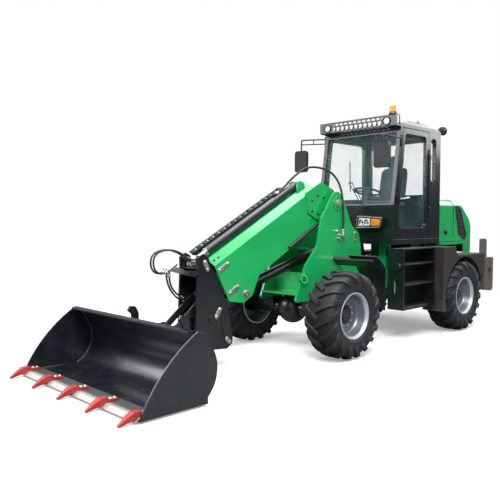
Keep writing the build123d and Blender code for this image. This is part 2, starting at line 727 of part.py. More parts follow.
def rear_frame():
    """Rails, joint plates, step arms, engine deck and hood posts."""
    front = steer - 200
    back = tail + 360
    rail = rail_y + rail_t
    body = block(front, front + 40, -rail, rail, joint_low, 1045)
    deck = hood_half - 60
    for s in (-1, 1):
        ring = [(front + 30, 620), (front + 30, rail_high), (back, rail_high), (back, 700), (aft + 300, 650),
                (aft + 400, 560)]
        body += side(ring, s * rail_y, s * rail)
        for x in (front + 30, cab_rear + 170):
            body += block(x - 50, x + 50, s * (rail_y - 30), s * (rail + 50), rail_high - 10, cab_floor_z)
        for x in (front, step_rear):
            body += block(x, x + 40, s * (rail - 10), s * step_in, 700, rail_high)
        body += block(hood_front, hood_rear + 390, s * (hood_half - 90), s * (hood_half + 40), 1290, 1330)
        for x in (hood_front - 70, hood_front - 670):
            body += block(x, x + 40, s * (rail - 10), s * deck, rail_high - 40, 1310)
    body += block(back, back + 40, -rail, rail, 700, rail_high)
    body += block(cab_rear - 20, cab_rear + 20, -rail, rail, 760, rail_high)
    for x in (hood_front - 250, hood_front - 650):
        body += block(x - 40, x + 40, -rail_y - 5, rail_y + 5, 900, rail_high)
    for z in (joint_low, joint_low + 90, joint_high, joint_high + 90):
        ring = [(front + 35, -200), (front + 35, 200), (steer, joint_eye), (steer, -joint_eye)]
        body += plan(ring, z, z + joint_plate) + bar((steer, 0, z), (steer, 0, z + joint_plate), joint_eye)
    for z in (joint_low, joint_high):
        body += bar((steer, 0, z), (steer, 0, z + 90 + joint_plate), joint_radius)
    x, y = steer_rear
    body += steer_lug(x - 55, x + 55, -rail_y - 5, rail_y + 5)
    body += bar((x, y, steer_z - 75), (x, y, steer_z + 75), steer_pin)
    body -= block(front - 10, front + 50, 45, rail_y - 1, steer_z - 60, steer_z + 60)
    hx, hz = hood_hinge
    for s in (-1, 1):
        post = block(hx - 20, hx + 20, s * 430, s * 470, 1300, hz) + cross_pin(hx, hz, 22, s * 430, s * 470)
        body += post - cross_pin(hx, hz, hinge_pin + pin_play, s * 425, s * 475)
    return body - bar((front - 20, 0, shaft_z - 17), (front + 60, 0, shaft_z - 13), 90)


def side_steps():
    """A black box of open treads under each side of the cab, with a round filler on the left."""
    x0, x1 = step_rear, step_front
    y0, y1 = step_in, step_half
    t = step_plate
    body = block(x0, x1, y0, y0 + t, step_low, step_high)
    body += block(x1 - t, x1, y0, y1, step_low, step_high)
    body += block(x0, x0 + t, y0, y1, step_low, step_high)
    for z in (step_low, step_low + 330, step_low + 610, step_high - t):
        body += block(x0, x1, y0, y1, z, z + t)
    lip = [(x0, step_low), (x1, step_low), (x1, step_low + 45), (x0, step_low + 45)]
    body += side(lip, y1 - 8, y1)
    left, right = both(body)
    can = bar((x1 - 10, y1 - 70, step_high - 240), (x1 + 60, y1 - 70, step_high - 240), 45)
    can += bar((x1 + 52, y1 - 70, step_high - 240), (x1 + 80, y1 - 70, step_high - 240), 55)
    y = y1 - 100
    handle = bent_tube([(x1 - 5, y, 640), (x1 + 60, y, 640), (x1 + 60, y, 860), (x1 - 5, y, 860)], 9, 25)
    return group([fuse(left, can, handle), right])


def rear_fenders():
    """Panel behind the steps whose arch goes round the rear tyre and back to the counterweight."""
    x0 = step_rear - seat_gap
    x1 = tail + 360 + seat_gap
    top = tyre_radius + arch_radius + 10
    ring = [(x0, 350), (x0, step_high), (x0 - 360, step_high), (x0 - 400, top), (x1, top), (x1, 880)]
    ring += [(aft, 350)]
    inside = hood_half + 3 * move_gap
    body = side(ring, inside, fender_half)
    body -= cross_pin(aft, tyre_radius, arch_radius - fender_t, inside - 10, fender_half + 10)
    return group(both(body - block(aft - arch_radius, aft + 400, 0, fender_half + 10, 0, 700)))


def counterweight():
    """Cast weight with rounded rear corners, a keyhole pocket each side, guard plates and the tow clevis."""
    x1 = tail
    x0 = x1 + 360
    ring = [(x0, 560), (x0, 1070), (x1, 1070), (x1, 640), (x1 + 90, 530)]
    body = side(ring, -fender_half, fender_half)
    corner = [(x0 + 100, -fender_half), (x1, -fender_half), (x1, fender_half), (x0 + 100, fender_half)]
    body = body & plan(corner, 0, 2000, 60)
    guard = [(x1 + 70, 1060), (x1 + 70, 1340), (x1 + 110, 1370), (x1 + 280, 1370), (x1 + 280, 1060)]
    for s in (-1, 1):
        body += side(guard, s * (fender_half - 130), s * (fender_half - 100), 18)
        deep = fender_half - 60
        pocket = side([(x1 + 150, 680), (x1 + 150, 900), (x1 + 200, 900), (x1 + 200, 680)], s * deep,
                      s * 1200, 20)
        body -= pocket + cross_pin(x1 + 175, 860, 50, s * deep, s * 1200)
    hitch = x1 - hitch_reach + 40
    for z in (620, 720):
        ear = block(hitch, x1 + 10, -40, 40, z, z + 30) + bar((hitch, 0, z), (hitch, 0, z + 30), 40)
        body += ear - bar((hitch, 0, z - 5), (hitch, 0, z + 35), 20)
    return body


def engine():
    return block(hood_front - 130, hood_front - 790, -290, 290, rail_high + seat_gap, 1650)


def screen_x(z):
    """The cab front's x at a height."""
    return cab_front - screen_lean * max(0.0, z - sill_z) / (roof_z - sill_z)


def cab_front_wall():
    w = cab_wall
    top = screen_x(roof_z)
    ring = [(cab_front, wall_z), (cab_front, sill_z), (top, roof_z), (top - w, roof_z), (cab_front - w,
                                                                                         sill_z),
            (cab_front - w, wall_z)]
    return side(ring, -cab_half, cab_half) - screen_pane(60, 0) + wiper()


def screen_pane(edge, shrink):
    """The windscreen's opening, or its pane when shrunk."""
    z0 = sill_z + 20 + shrink
    z1 = roof_z - 70 - shrink
    half = cab_half - edge - shrink
    deep = glass_t if shrink else 200
    shift = -20 if shrink else 60
    x0 = screen_x(z0) + shift
    x1 = screen_x(z1) + shift
    return side([(x0, z0), (x1, z1), (x1 - deep, z1), (x0 - deep, z0)], -half, half)


def cab_right_wall():
    w = cab_wall + seat_gap
    top = screen_x(roof_z)
    ring = [(cab_front - w, wall_z), (cab_front - w, sill_z), (top - w, roof_z), (cab_rear + w, roof_z),
            (cab_rear + w, wall_z)]
    wall = side(ring, -cab_half, -cab_half + cab_wall)
    return wall - side(right_window(0), -cab_half - 10, -cab_half + cab_wall + 10, 60)


def right_window(shrink):
    s = shrink
    low = sill_z - 120 + s
    top = roof_z - 90 - s
    back = cab_rear + 150 + s
    return [(cab_front - 130 - s, low), (screen_x(roof_z - 90) - 130 - s, top), (back, top), (back,
                                                                                              sill_z + s),
            (back + 450, sill_z + s), (back + 550, low)]


def quarter_window(shrink):
    s = shrink
    front = door_rear - 70 - s
    back = cab_rear + 130 + s
    return [(front, roof_z - 720 + s), (front, roof_z - 90 - s), (back, roof_z - 90 - s), (back,
                                                                                           roof_z - 720 + s)]


def rear_window(shrink):
    half = cab_half - 110 - shrink
    low = sill_z + 180 + shrink
    top = roof_z - 100 - shrink
    return [(-half, low), (half, low), (half, top), (-half, top)]


hinge_x = door_rear - 2
hinge_y = cab_half + 6
hinge_heights = (sill_z - 80, roof_z - 400)


def cab_left_wall():
    w = cab_wall
    front = door_rear - move_gap - 5
    back = cab_rear + w + seat_gap
    wall = side([(front, wall_z), (front, roof_z), (back, roof_z), (back, wall_z)], cab_half - w, cab_half)
    wall -= side(quarter_window(0), cab_half - w - 10, cab_half + 10, 50)
    for z in hinge_heights:
        knuckle = bar((hinge_x, hinge_y, z), (hinge_x, hinge_y, z + 60), 18)
        knuckle += block(hinge_x - 60, hinge_x, cab_half - 2, cab_half + 14, z, z + 60)
        wall += knuckle - bar((hinge_x, hinge_y, z - 5), (hinge_x, hinge_y, z + 65), 8 + pin_play)
    return wall


def cab_rear_wall():
    wall = block(cab_rear, cab_rear + cab_wall, -cab_half, cab_half, wall_z, roof_z)
    return wall - cross_plate(rear_window(0), cab_rear - 10, cab_rear + cab_wall + 10, 60)


def cab_floor():
    return block(cab_front, cab_rear, -cab_half, cab_half, cab_floor_z, wall_z)


def cab_roof():
    """A crowned roof with round edges and a lifting eye."""
    front = screen_x(roof_z) + 20
    rear = cab_rear - 20
    top = roof_z + roof_rise
    ring = [(front, roof_z), (front, roof_z + 50), (front - 300, top), (rear + 220, top - 25), (rear,
                                                                                                roof_z + 30),
            (rear, roof_z)]
    roof = side(ring, -cab_half, cab_half)
    section = [(-cab_half, roof_z - 200), (cab_half, roof_z - 200), (cab_half, top), (-cab_half, top)]
    roof = roof & cross_plate(section, rear - 10, front + 10, 70)
    eye = Pos(front_x + rear + 560, cab_half - 75, top - 4) * Rot(90, 0, 0) * Torus(32, 8)
    return roof + eye


def cab_glass():
    y = cab_half - 30
    panes = [screen_pane(60, seat_gap)]
    panes.append(side(right_window(seat_gap), -y, -y + glass_t, 60 - seat_gap))
    panes.append(side(quarter_window(seat_gap), y - glass_t, y, 50 - seat_gap))
    panes.append(cross_plate(rear_window(seat_gap), cab_rear + 20, cab_rear + 20 + glass_t, 60 - seat_gap))
    return group(panes)


def door_outline(inset):
    i = inset
    top = roof_z - 10 - i
    low = wall_z + 10 + i
    lean = screen_x(top) - cab_front
    return [(door_front - i, low), (door_front - i, sill_z), (door_front + lean - i, top), (door_rear + i,
                                                                                            top),
            (door_rear + i, low)]


def door_window(shrink):
    ring = door_outline(70 + shrink)
    low = door_sill + shrink
    return [(ring[0][0], low), ring[1], ring[2], ring[3], (ring[4][0], low)]


def cab_door():
    w = cab_wall
    frame = side(door_outline(0), cab_half - w, cab_half)
    frame -= side(door_window(0), cab_half - w - 10, cab_half + 10, 60)
    x = door_front - 17
    frame += block(x, x - 43, cab_half - 5, cab_half + 25, sill_z + 20, sill_z + 120)
    for z in hinge_heights:
        frame -= bar((hinge_x, hinge_y, z - 3), (hinge_x, hinge_y, z + 63), 22)
    low, high = hinge_heights
    return frame + bar((hinge_x, hinge_y, low - 100), (hinge_x, hinge_y, high + 140), 8)


def door_glass():
    y = cab_half - 30
    return side(door_window(seat_gap), y - glass_t, y, 60 - seat_gap)


def visor_blade(y, x, z0, z1):
    """A crescent blade between two arcs, 28 mm deep."""
    low = [(y - 22, z0), (y - 6, z0)]
    high = [(y + 4, z1), (y + 16, z1)]
    mid = z0 + 33
    edges = [ThreePointArc(low[0], (y + 16, mid), high[0]), Line(high[0], high[1]),
             ThreePointArc(high[1], (y + 30, mid), low[1]), Line(low[1], low[0])]
    front = Plane(origin=(front_x + x, 0, 0), x_dir=(0, 1, 0), z_dir=(1, 0, 0))
    return extrude(front * make_face(edges), amount=28, dir=(1, 0, 0))


def roof_visor():
    """Sun visor: a framed opening with a row of curved blades and round lamp seats."""
    x1 = cab_front - 27
    x0 = x1 - 40
    z0, z1 = roof_z + 10, roof_z + 160
    half = cab_half - 220
    frame = block(x0, x1, -cab_half, cab_half, z0, z1)
    frame -= block(x1 + 10, x0 - 10, -half, half, z0 + 18, z1 - 68)
    frame -= block(x1 + 10, x0 - 10, -half, half, z1 - 52, z1 - 18)
    count = 11
    for i in range(count):
        y = -half + (i + 0.5) * 2 * half / count
        frame += visor_blade(y, x0 + 6, z0 + 14, z1 - 64)
        frame += block(x0 + 6, x1 - 6, y - 6, y + 6, z1 - 56, z1 - 14)
    for s in (-1, 1):
        frame += block(x1 - 30, screen_x(roof_z) + 20, s * (cab_half - 40), s * cab_half, roof_z + 5,
                       roof_z + 30)
        frame += block(x1 - 30, x1 - 110, s * (cab_half - 12), s * cab_half, z1 - 14, z1)
        frame += block(x1 - 110, x1 - 98, s * (cab_half - 12), s * cab_half, roof_z + 5, z1)
        y = s * (cab_half - 145)
        frame -= bar((x1 - 15, y, roof_z + 75), (x1 + 20, y, roof_z + 75), 52 + seat_gap)
    return frame


def lamps():
    """Two lamps in the visor, two at the back of the roof and the headlamps under the screen."""
    x1 = cab_front - 27
    solids = []
    for s in (-1, 1):
        y = s * (cab_half - 145)
        solids.append(bar((x1 - 15 + seat_gap, y, roof_z + 75), (x1 + 6, y, roof_z + 75), 52))
        rear = cab_rear - 20
        y = s * (cab_half - 20)
        work = bar((rear - 25, y, roof_z + 60), (rear - 85, y, roof_z + 60), 55)
        solids.append(work + block(rear, rear - 30, y - 12, y + 12, roof_z + 5, roof_z + 60))
        ring = [(s * 90, 1560), (s * 110, 1725), (s * 520, 1700), (s * 490, 1570)]
        solids.append(cross_plate(ring, cab_front, cab_front + 60, 15))
    return group(solids)


def beacon():
    x = cab_front - 47
    y = cab_half - 60
    z = roof_z + 160
    profile = [(0, 0), (55, 0), (55, 20), (45, 22), (45, 105), (32, 125), (0, 125)]
    face = make_face(Polyline(*[(front_x + x + r, y, z + h) for r, h in profile], close=True))
    return revolve(face, axis=Axis((front_x + x, y, 0), (0, 0, 1)))


def mirrors():
    """Two mirrors on tube arms, each from a plate on the side of its front post."""
    solids = []
    for s, ahead, y, z, top in ((1, 460, 720, 2525, 2800), (-1, 80, -1000, 2580, 2910)):
        x = steer + ahead
        ring = [(y - 120, z - 165), (y + 120, z - 165), (y + 120, z + 165), (y - 120, z + 165)]
        head = cross_plate(ring, x - 24, x + 24, 45)
        foot = screen_x(top) - 30
        wall = s * (cab_half + 15)
        head += bent_tube([(x, y, z + 100), (x, y, top), (foot, wall, top)], 11, 30)
        if s < 0:
            head += bar((x, y, top - 70), (foot, wall, top - 70), 9)
            mid = ((x + foot) / 2, (y + wall) / 2)
            head += bar((mid[0], mid[1], top - 70), (mid[0], mid[1], top), 7)
        low = top - 110
        head += block(foot - 18, foot + 18, s * cab_half, s * (cab_half + 25), low, top + 40)
        solids.append(head)
    return group(solids)


def wiper():
    """Twin arms from a spindle under the screen to the blade."""
    z0 = sill_z - 30
    x = cab_front
    base = block(x - 2, x + 22, 120, 240, z0 - 22, z0 + 22)
    out = 26.0
    ends = ((205, z0, -60, sill_z + 330), (155, z0, -110, sill_z + 330))
    for y0, low, y1, high in ends:
        base += bar((x + 12, y0, low), (screen_x(high) + out, y1, high), 6)
    top = sill_z + 640
    y = -85.0
    blade_low = sill_z + 200
    blade = bar((screen_x(blade_low) + out, y + 10, blade_low), (screen_x(top) + out, y - 50, top), 8)
    tie = sill_z + 330
    return base + blade + bar((screen_x(tie) + out, -50, tie), (screen_x(tie) + out, -120, tie), 9)


def exhaust():
    """Low outlet under a rain cap on the hood's top."""
    x = hood_front - 190
    y = 250.0
    z = hood_top
    profile = [(0, 0), (62, 0), (62, 22), (92, 28), (92, 42), (60, 56), (0, 60)]
    face = make_face(Polyline(*[(front_x + x + r, y, z + h) for r, h in profile], close=True))
    return revolve(face, axis=Axis((front_x + x, y, 0), (0, 0, 1)))


def operator_seat():
    rear = cab_rear + 240
    front = rear + 480
    z = sill_z + 80
    cushion = block(rear, front, -240, 240, z - 110, z)
    low = z + seat_gap
    back = side([(rear, low), (rear - 90, z + 520), (rear + 10, z + 520), (rear + 110, low)], -230, 230, 30)
    high = z + 520 + seat_gap
    rest = side([(rear - 90, high), (rear - 120, high + 190), (rear - 30, high + 190), (rear, high)],
                -130, 130, 30)
    return group([cushion, back, rest])


def cab_controls():
    seat = cab_rear + 240
    pedestal = block(seat + 10, seat + 460, -200, 200, wall_z, sill_z - 30 - seat_gap)
    console = block(seat + 60, seat + 610, -560, -300, wall_z, sill_z + 100)
    x = cab_front - 320
    z = sill_z + 210
    column = bar((x + 160, 0, wall_z + 40), (x + 10, 0, z - 30), 45)
    column += block(x + 90, x + 230, -60, 60, wall_z, wall_z + 60)
    wheel = Location(Plane(origin=(front_x + x, 0, z), z_dir=(0.24, 0, -1))) * Torus(190, 16)
    hub = bar((x + 10, 0, z - 40), (x, 0, z + 15), 60)
    spokes = []
    for c, s in ((0.5, 0.866), (0.5, -0.866), (-1, 0)):
        spokes.append(bar((x, 0, z), (x + 190 * c, 190 * s, z + 46 * c), 12))
    return group([pedestal, console, column + hub + fuse(*spokes) + wheel])


def hood_form(inset):
    """The hood's rounded outer form, drawn in by inset and run out at the open front and below."""
    i = inset
    low = cab_floor_z + 2 * move_gap
    front = hood_front + (10 if i > 0 else 0)
    drop = 2 * max(i, 0)
    ring = [(front, hood_top - i), (hood_rear + 720, hood_top - i), (hood_rear + 400, hood_top - 110 - i),
            (hood_rear + 170, hood_top - 290 - i), (hood_rear + i, hood_top - 540), (hood_rear + i,
                                                                                     hood_top - 690),
            (hood_rear + 130 + i, 1110 - drop), (hood_rear + 330, 1110 - drop), (hood_rear + 380, low - drop),
            (front, low - drop)]
    half = hood_half - i
    body = side(ring, -half, half)
    section = [(-half, 500), (half, 500), (half, hood_top - i), (-half, hood_top - i)]
    body = body & cross_plate(section, hood_rear - 50, front + 50, 110 - i)
    corner = [(front + 400, -half), (hood_rear + i, -half), (hood_rear + i, half), (front + 400, half)]
    return body & plan(corner, 900, 2200, 130 - i)


def hood():
    """A shell open at the front and below, hung on two pins at its front upper edge."""
    body = hood_form(0) - hood_form(hood_wall)
    x, z = hood_hinge
    top = hood_top - hood_wall / 2
    for s in (-1, 1):
        body += side([(x + 22, z - 22), (x + 40, top), (x - 60, top), (x - 22, z - 22)], s * 480, s * 495)
        body += cross_pin(x, z, hinge_pin, s * 415, s * 495)
    return body


def hood_grilles():
    """A framed vent of slanted bars on each side of the hood."""
    x = hood_rear
    ring = [(x + 640, hood_top - 75), (x + 470, hood_top - 120), (x + 250, hood_top - 560), (x + 330,
                                                                                             hood_top - 630),
            (x + 520, hood_top - 540)]
    y = hood_half + seat_gap
    frame = side(ring, y, y + 10, 20)
    for i in range(7):
        z = hood_top - 165 - i * 62
        lean = (hood_top - z) * 0.42
        bay = [(x + 660 - lean, z), (x + 545 - lean, z), (x + 525 - lean, z - 34), (x + 640 - lean, z - 34)]
        frame -= side(bay, y + 4, y + 20)
    return group(both(frame))


def tail_lamps():
    """Upright strips that follow the hood's rear corners."""
    strip = hood_form(-12) - hood_form(-seat_gap)
    lamps_on = []
    for s in (-1, 1):
        zone = block(hood_rear - 50, hood_rear + 330, s * 470, s * 520, hood_top - 420, hood_top - 200)
        lamps_on.append(strip & zone)
    return group(lamps_on)


def hose_couplers():
    """Two couplers on an arm in front of the boom's head."""
    root = 2345 + seat_gap
    arm = boom_side([(root, 295), (root, 350), (2470, 490), (2520, 500), (2510, 450)], -75, 15)
    for y in coupler_y:
        arm += bar((1890, y, 1196), (2000, y, 1130), 22)
        arm += bar((1975, y, 1145), (2006, y, 1126.4), 27) + bar((1985, y, 1139), (1985, y, 1100), 13)
    return arm


def hose(points, radius):
    """A free hose of straight runs and arcs."""
    return bent_tube(points, radius, 8 * radius)


steer_barrel, steer_rod = steer_cylinder()
nodes = {
    "front_frame": front_frame(), "front_axle": axle(0, -1), "front_fenders": front_fenders(),
    "boom_outer": boom_outer(), "extension_barrel": extension_barrel(), "extension_rod": extension_rod(),
    "boom_lines": boom_lines(), "boom_head": boom_head(), "rocker": rocker(), "tilt_link": tilt_link(),
    "tilt_barrel": tilt_barrel(), "tilt_rod": tilt_rod(), "lift_barrel": lift_barrel(),
    "lift_rod": lift_rod(),
    "quick_coupler": quick_coupler(), "bucket_shell": bucket(), "cutting_edge": cutting_edge(),
    "bucket_teeth": bucket_teeth(), "steer_barrel": steer_barrel, "steer_rod": steer_rod,
    "rear_frame": rear_frame(), "rear_axle": axle(aft, 1), "side_steps": side_steps(),
    "rear_fenders": rear_fenders(), "counterweight": counterweight(),
    "engine_block": engine(), "cab_floor": cab_floor(), "cab_front": cab_front_wall(),
    "cab_right": cab_right_wall(), "cab_left": cab_left_wall(), "cab_rear": cab_rear_wall(),
    "cab_roof": cab_roof(), "cab_glass": cab_glass(), "cab_door": cab_door(), "door_glass": door_glass(),
    "roof_visor": roof_visor(), "lamps": lamps(), "tail_lamps": tail_lamps(), "beacon": beacon(),
    "mirrors": mirrors(), "exhaust": exhaust(), "operator_seat": operator_seat(),
    "cab_controls": cab_controls(), "hood": hood(), "hood_grilles": hood_grilles(),
}
nodes["hose_couplers"] = hose_couplers()
nodes["boom_hose"] = hose(boom_route(), boom_hose_radius)
for name, y, end in (("left", coupler_y[0], drop_ends[0]), ("right", coupler_y[1], drop_ends[1])):
    nodes[f"loop_hose_{name}"] = hose(loop_route(y), hose_radius)
    nodes[f"drop_hose_{name}"] = hose(drop_route(y, end), hose_radius)
wheel_tyre = tyre()
wheel_rim = rim()
for end, x in (("front", front_x), ("rear", rear_x)):
    for name, s in (("left", 1), ("right", -1)):
        place = Pos(x, s * track / 2, tyre_radius)
        nodes[f"tyre_{end}_{name}"] = place * wheel_tyre
        nodes[f"rim_{end}_{name}"] = place * Rot(0, 0, 0 if s > 0 else 180) * wheel_rim

os.makedirs("parts", exist_ok=True)
for name, shape in nodes.items():
    export_step(shape, f"parts/{name}.step")
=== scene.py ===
import math
import bmesh
import bpy
import numpy as np
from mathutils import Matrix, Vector


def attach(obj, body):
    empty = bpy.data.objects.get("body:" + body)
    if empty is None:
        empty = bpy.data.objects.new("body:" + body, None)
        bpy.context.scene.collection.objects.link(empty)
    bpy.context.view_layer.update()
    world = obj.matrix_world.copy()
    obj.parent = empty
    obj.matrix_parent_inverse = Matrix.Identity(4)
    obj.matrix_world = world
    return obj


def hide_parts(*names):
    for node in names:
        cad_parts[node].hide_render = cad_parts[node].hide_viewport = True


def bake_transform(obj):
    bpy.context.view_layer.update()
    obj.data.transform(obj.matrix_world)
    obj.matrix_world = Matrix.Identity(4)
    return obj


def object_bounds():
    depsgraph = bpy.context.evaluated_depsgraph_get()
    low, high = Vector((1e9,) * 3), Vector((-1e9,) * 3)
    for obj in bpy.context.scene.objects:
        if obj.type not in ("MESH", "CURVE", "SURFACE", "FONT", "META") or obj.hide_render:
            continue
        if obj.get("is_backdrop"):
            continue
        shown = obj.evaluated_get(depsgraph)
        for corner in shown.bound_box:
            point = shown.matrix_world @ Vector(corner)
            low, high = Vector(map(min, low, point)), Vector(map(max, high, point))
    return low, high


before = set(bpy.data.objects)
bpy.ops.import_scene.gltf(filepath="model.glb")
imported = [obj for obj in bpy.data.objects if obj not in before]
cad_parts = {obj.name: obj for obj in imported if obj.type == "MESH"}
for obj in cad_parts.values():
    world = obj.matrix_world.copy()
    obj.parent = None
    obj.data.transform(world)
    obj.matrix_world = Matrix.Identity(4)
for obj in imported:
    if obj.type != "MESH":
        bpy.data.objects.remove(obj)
cadLow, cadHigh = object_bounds()
print("frame loaded")

# Places below are metres, x forward from the front axle; frontX moves them into the shared frame
frontX = 0.314914
wheelBase = 2.8
halfTrack = 0.81
axleHeight = 0.53
boomTilt = math.radians(-28.007)
boomPivot = (-0.52, 1.89)
couplerX = 1.9502
sink = 0.001  # how far a trim piece stands in what carries it

sides = (1, -1)
forward, leftward, upward = np.eye(3)
boomAlong = np.array([math.cos(boomTilt), 0.0, math.sin(boomTilt)])
boomUp = np.array([-math.sin(boomTilt), 0.0, math.cos(boomTilt)])
skewWay = (0.31, 0.87, 0.38)  # a direction along none of the axes that pieces are turned about


def at(x, y, z):
    # a point, or arrays of points, in the shared frame
    x, y, z = np.broadcast_arrays(x, y, z)
    return np.stack([x + frontX, y, z], -1).astype(float)


def onBoom(u, v, y):
    # u runs along the boom and v up from it, both turned by the boom's angle about its pivot
    u, v, y = np.broadcast_arrays(u, v, y)
    x = boomPivot[0] + u * math.cos(boomTilt) - v * math.sin(boomTilt)
    z = boomPivot[1] + u * math.sin(boomTilt) + v * math.cos(boomTilt)
    return at(x, y, z)


def unit(v):
    return v / np.maximum(np.linalg.norm(v, axis=-1, keepdims=True), 1e-9)


def smoothLine(points, steps):
    # each span is a cubic through its two points, with slopes from the points beside them
    p = np.asarray(points, float)
    p = np.concatenate([2 * p[:1] - p[1:2], p, 2 * p[-1:] - p[-2:-1]])
    t = np.linspace(0, len(p) - 3, steps)
    i = np.minimum(t.astype(int), len(p) - 4)
    t = (t - i)[:, None]
    a, b, c, d = p[i], p[i + 1], p[i + 2], p[i + 3]
    return b + t * (c - a) / 2 + t**2 * (a - 2.5 * b + 2 * c - d / 2) + t**3 * (1.5 * (b - c) + (d - a) / 2)


def roundCorners(points, radius, steps=4):
    # each corner becomes a parabola between two points that lie back along its sides
    p = np.asarray(points, float)
    before, after = np.roll(p, 1, 0) - p, np.roll(p, -1, 0) - p
    reach = np.minimum(np.linalg.norm(before, axis=1), np.linalg.norm(after, axis=1)) * 0.45
    reach = np.minimum(np.broadcast_to(radius, reach.shape), reach)[:, None]
    a, b = p + unit(before) * reach, p + unit(after) * reach
    s = np.linspace(0, 1, steps + 1)[None, :, None]
    ring = (1 - s) ** 2 * a[:, None] + 2 * s * (1 - s) * p[:, None] + s**2 * b[:, None]
    return ring.reshape(-1, 2)


def drawIn(ring, amount):
    # every point of a closed outline moves inwards along the mitre of its two sides
    side = unit(np.roll(ring, -1, 0) - ring)
    normal = np.stack([-side[:, 1], side[:, 0]], 1)
    area = np.sum(ring[:, 0] * np.roll(ring[:, 1], -1) - np.roll(ring[:, 0], -1) * ring[:, 1])
    normal = normal if area > 0 else -normal
    last = np.roll(normal, 1, 0)
    spread = np.maximum(1 + np.sum(normal * last, 1, keepdims=True), 0.35)
    return ring + (normal + last) / spread * amount


def strip(a, b, half):
    # a flat bar's outline: half circles about two points, joined by straight sides
    a, b = np.asarray(a, float), np.asarray(b, float)
    along = unit(b - a)
    across = np.array([-along[1], along[0]])
    turn = np.linspace(-math.pi / 2, math.pi / 2, 9)[:, None]
    bow = half * (np.cos(turn) * along + np.sin(turn) * across)
    return np.concatenate([b + bow, a - bow])


def ringOf(count, radius, start=0.0):
    # points evenly round a circle
    turn = start + np.arange(count) * 2 * math.pi / count
    return np.stack([np.cos(turn), np.sin(turn)], 1) * radius


def box(x0, x1, z0, z1, corner):
    return roundCorners([(x0, z0), (x1, z0), (x1, z1), (x0, z1)], corner)


def outward(side, near, far):
    # a range of depth on one side of the machine, its lower end first
    return sorted((side * near, side * far))


def roundAbout(axis, steps):
    # unit vectors all the way round an axis
    side = unit(np.cross(axis, skewWay))
    turn = np.linspace(0, 2 * math.pi, steps, endpoint=False)[None, :, None]
    return np.cos(turn) * side + np.sin(turn) * np.cross(axis, side)


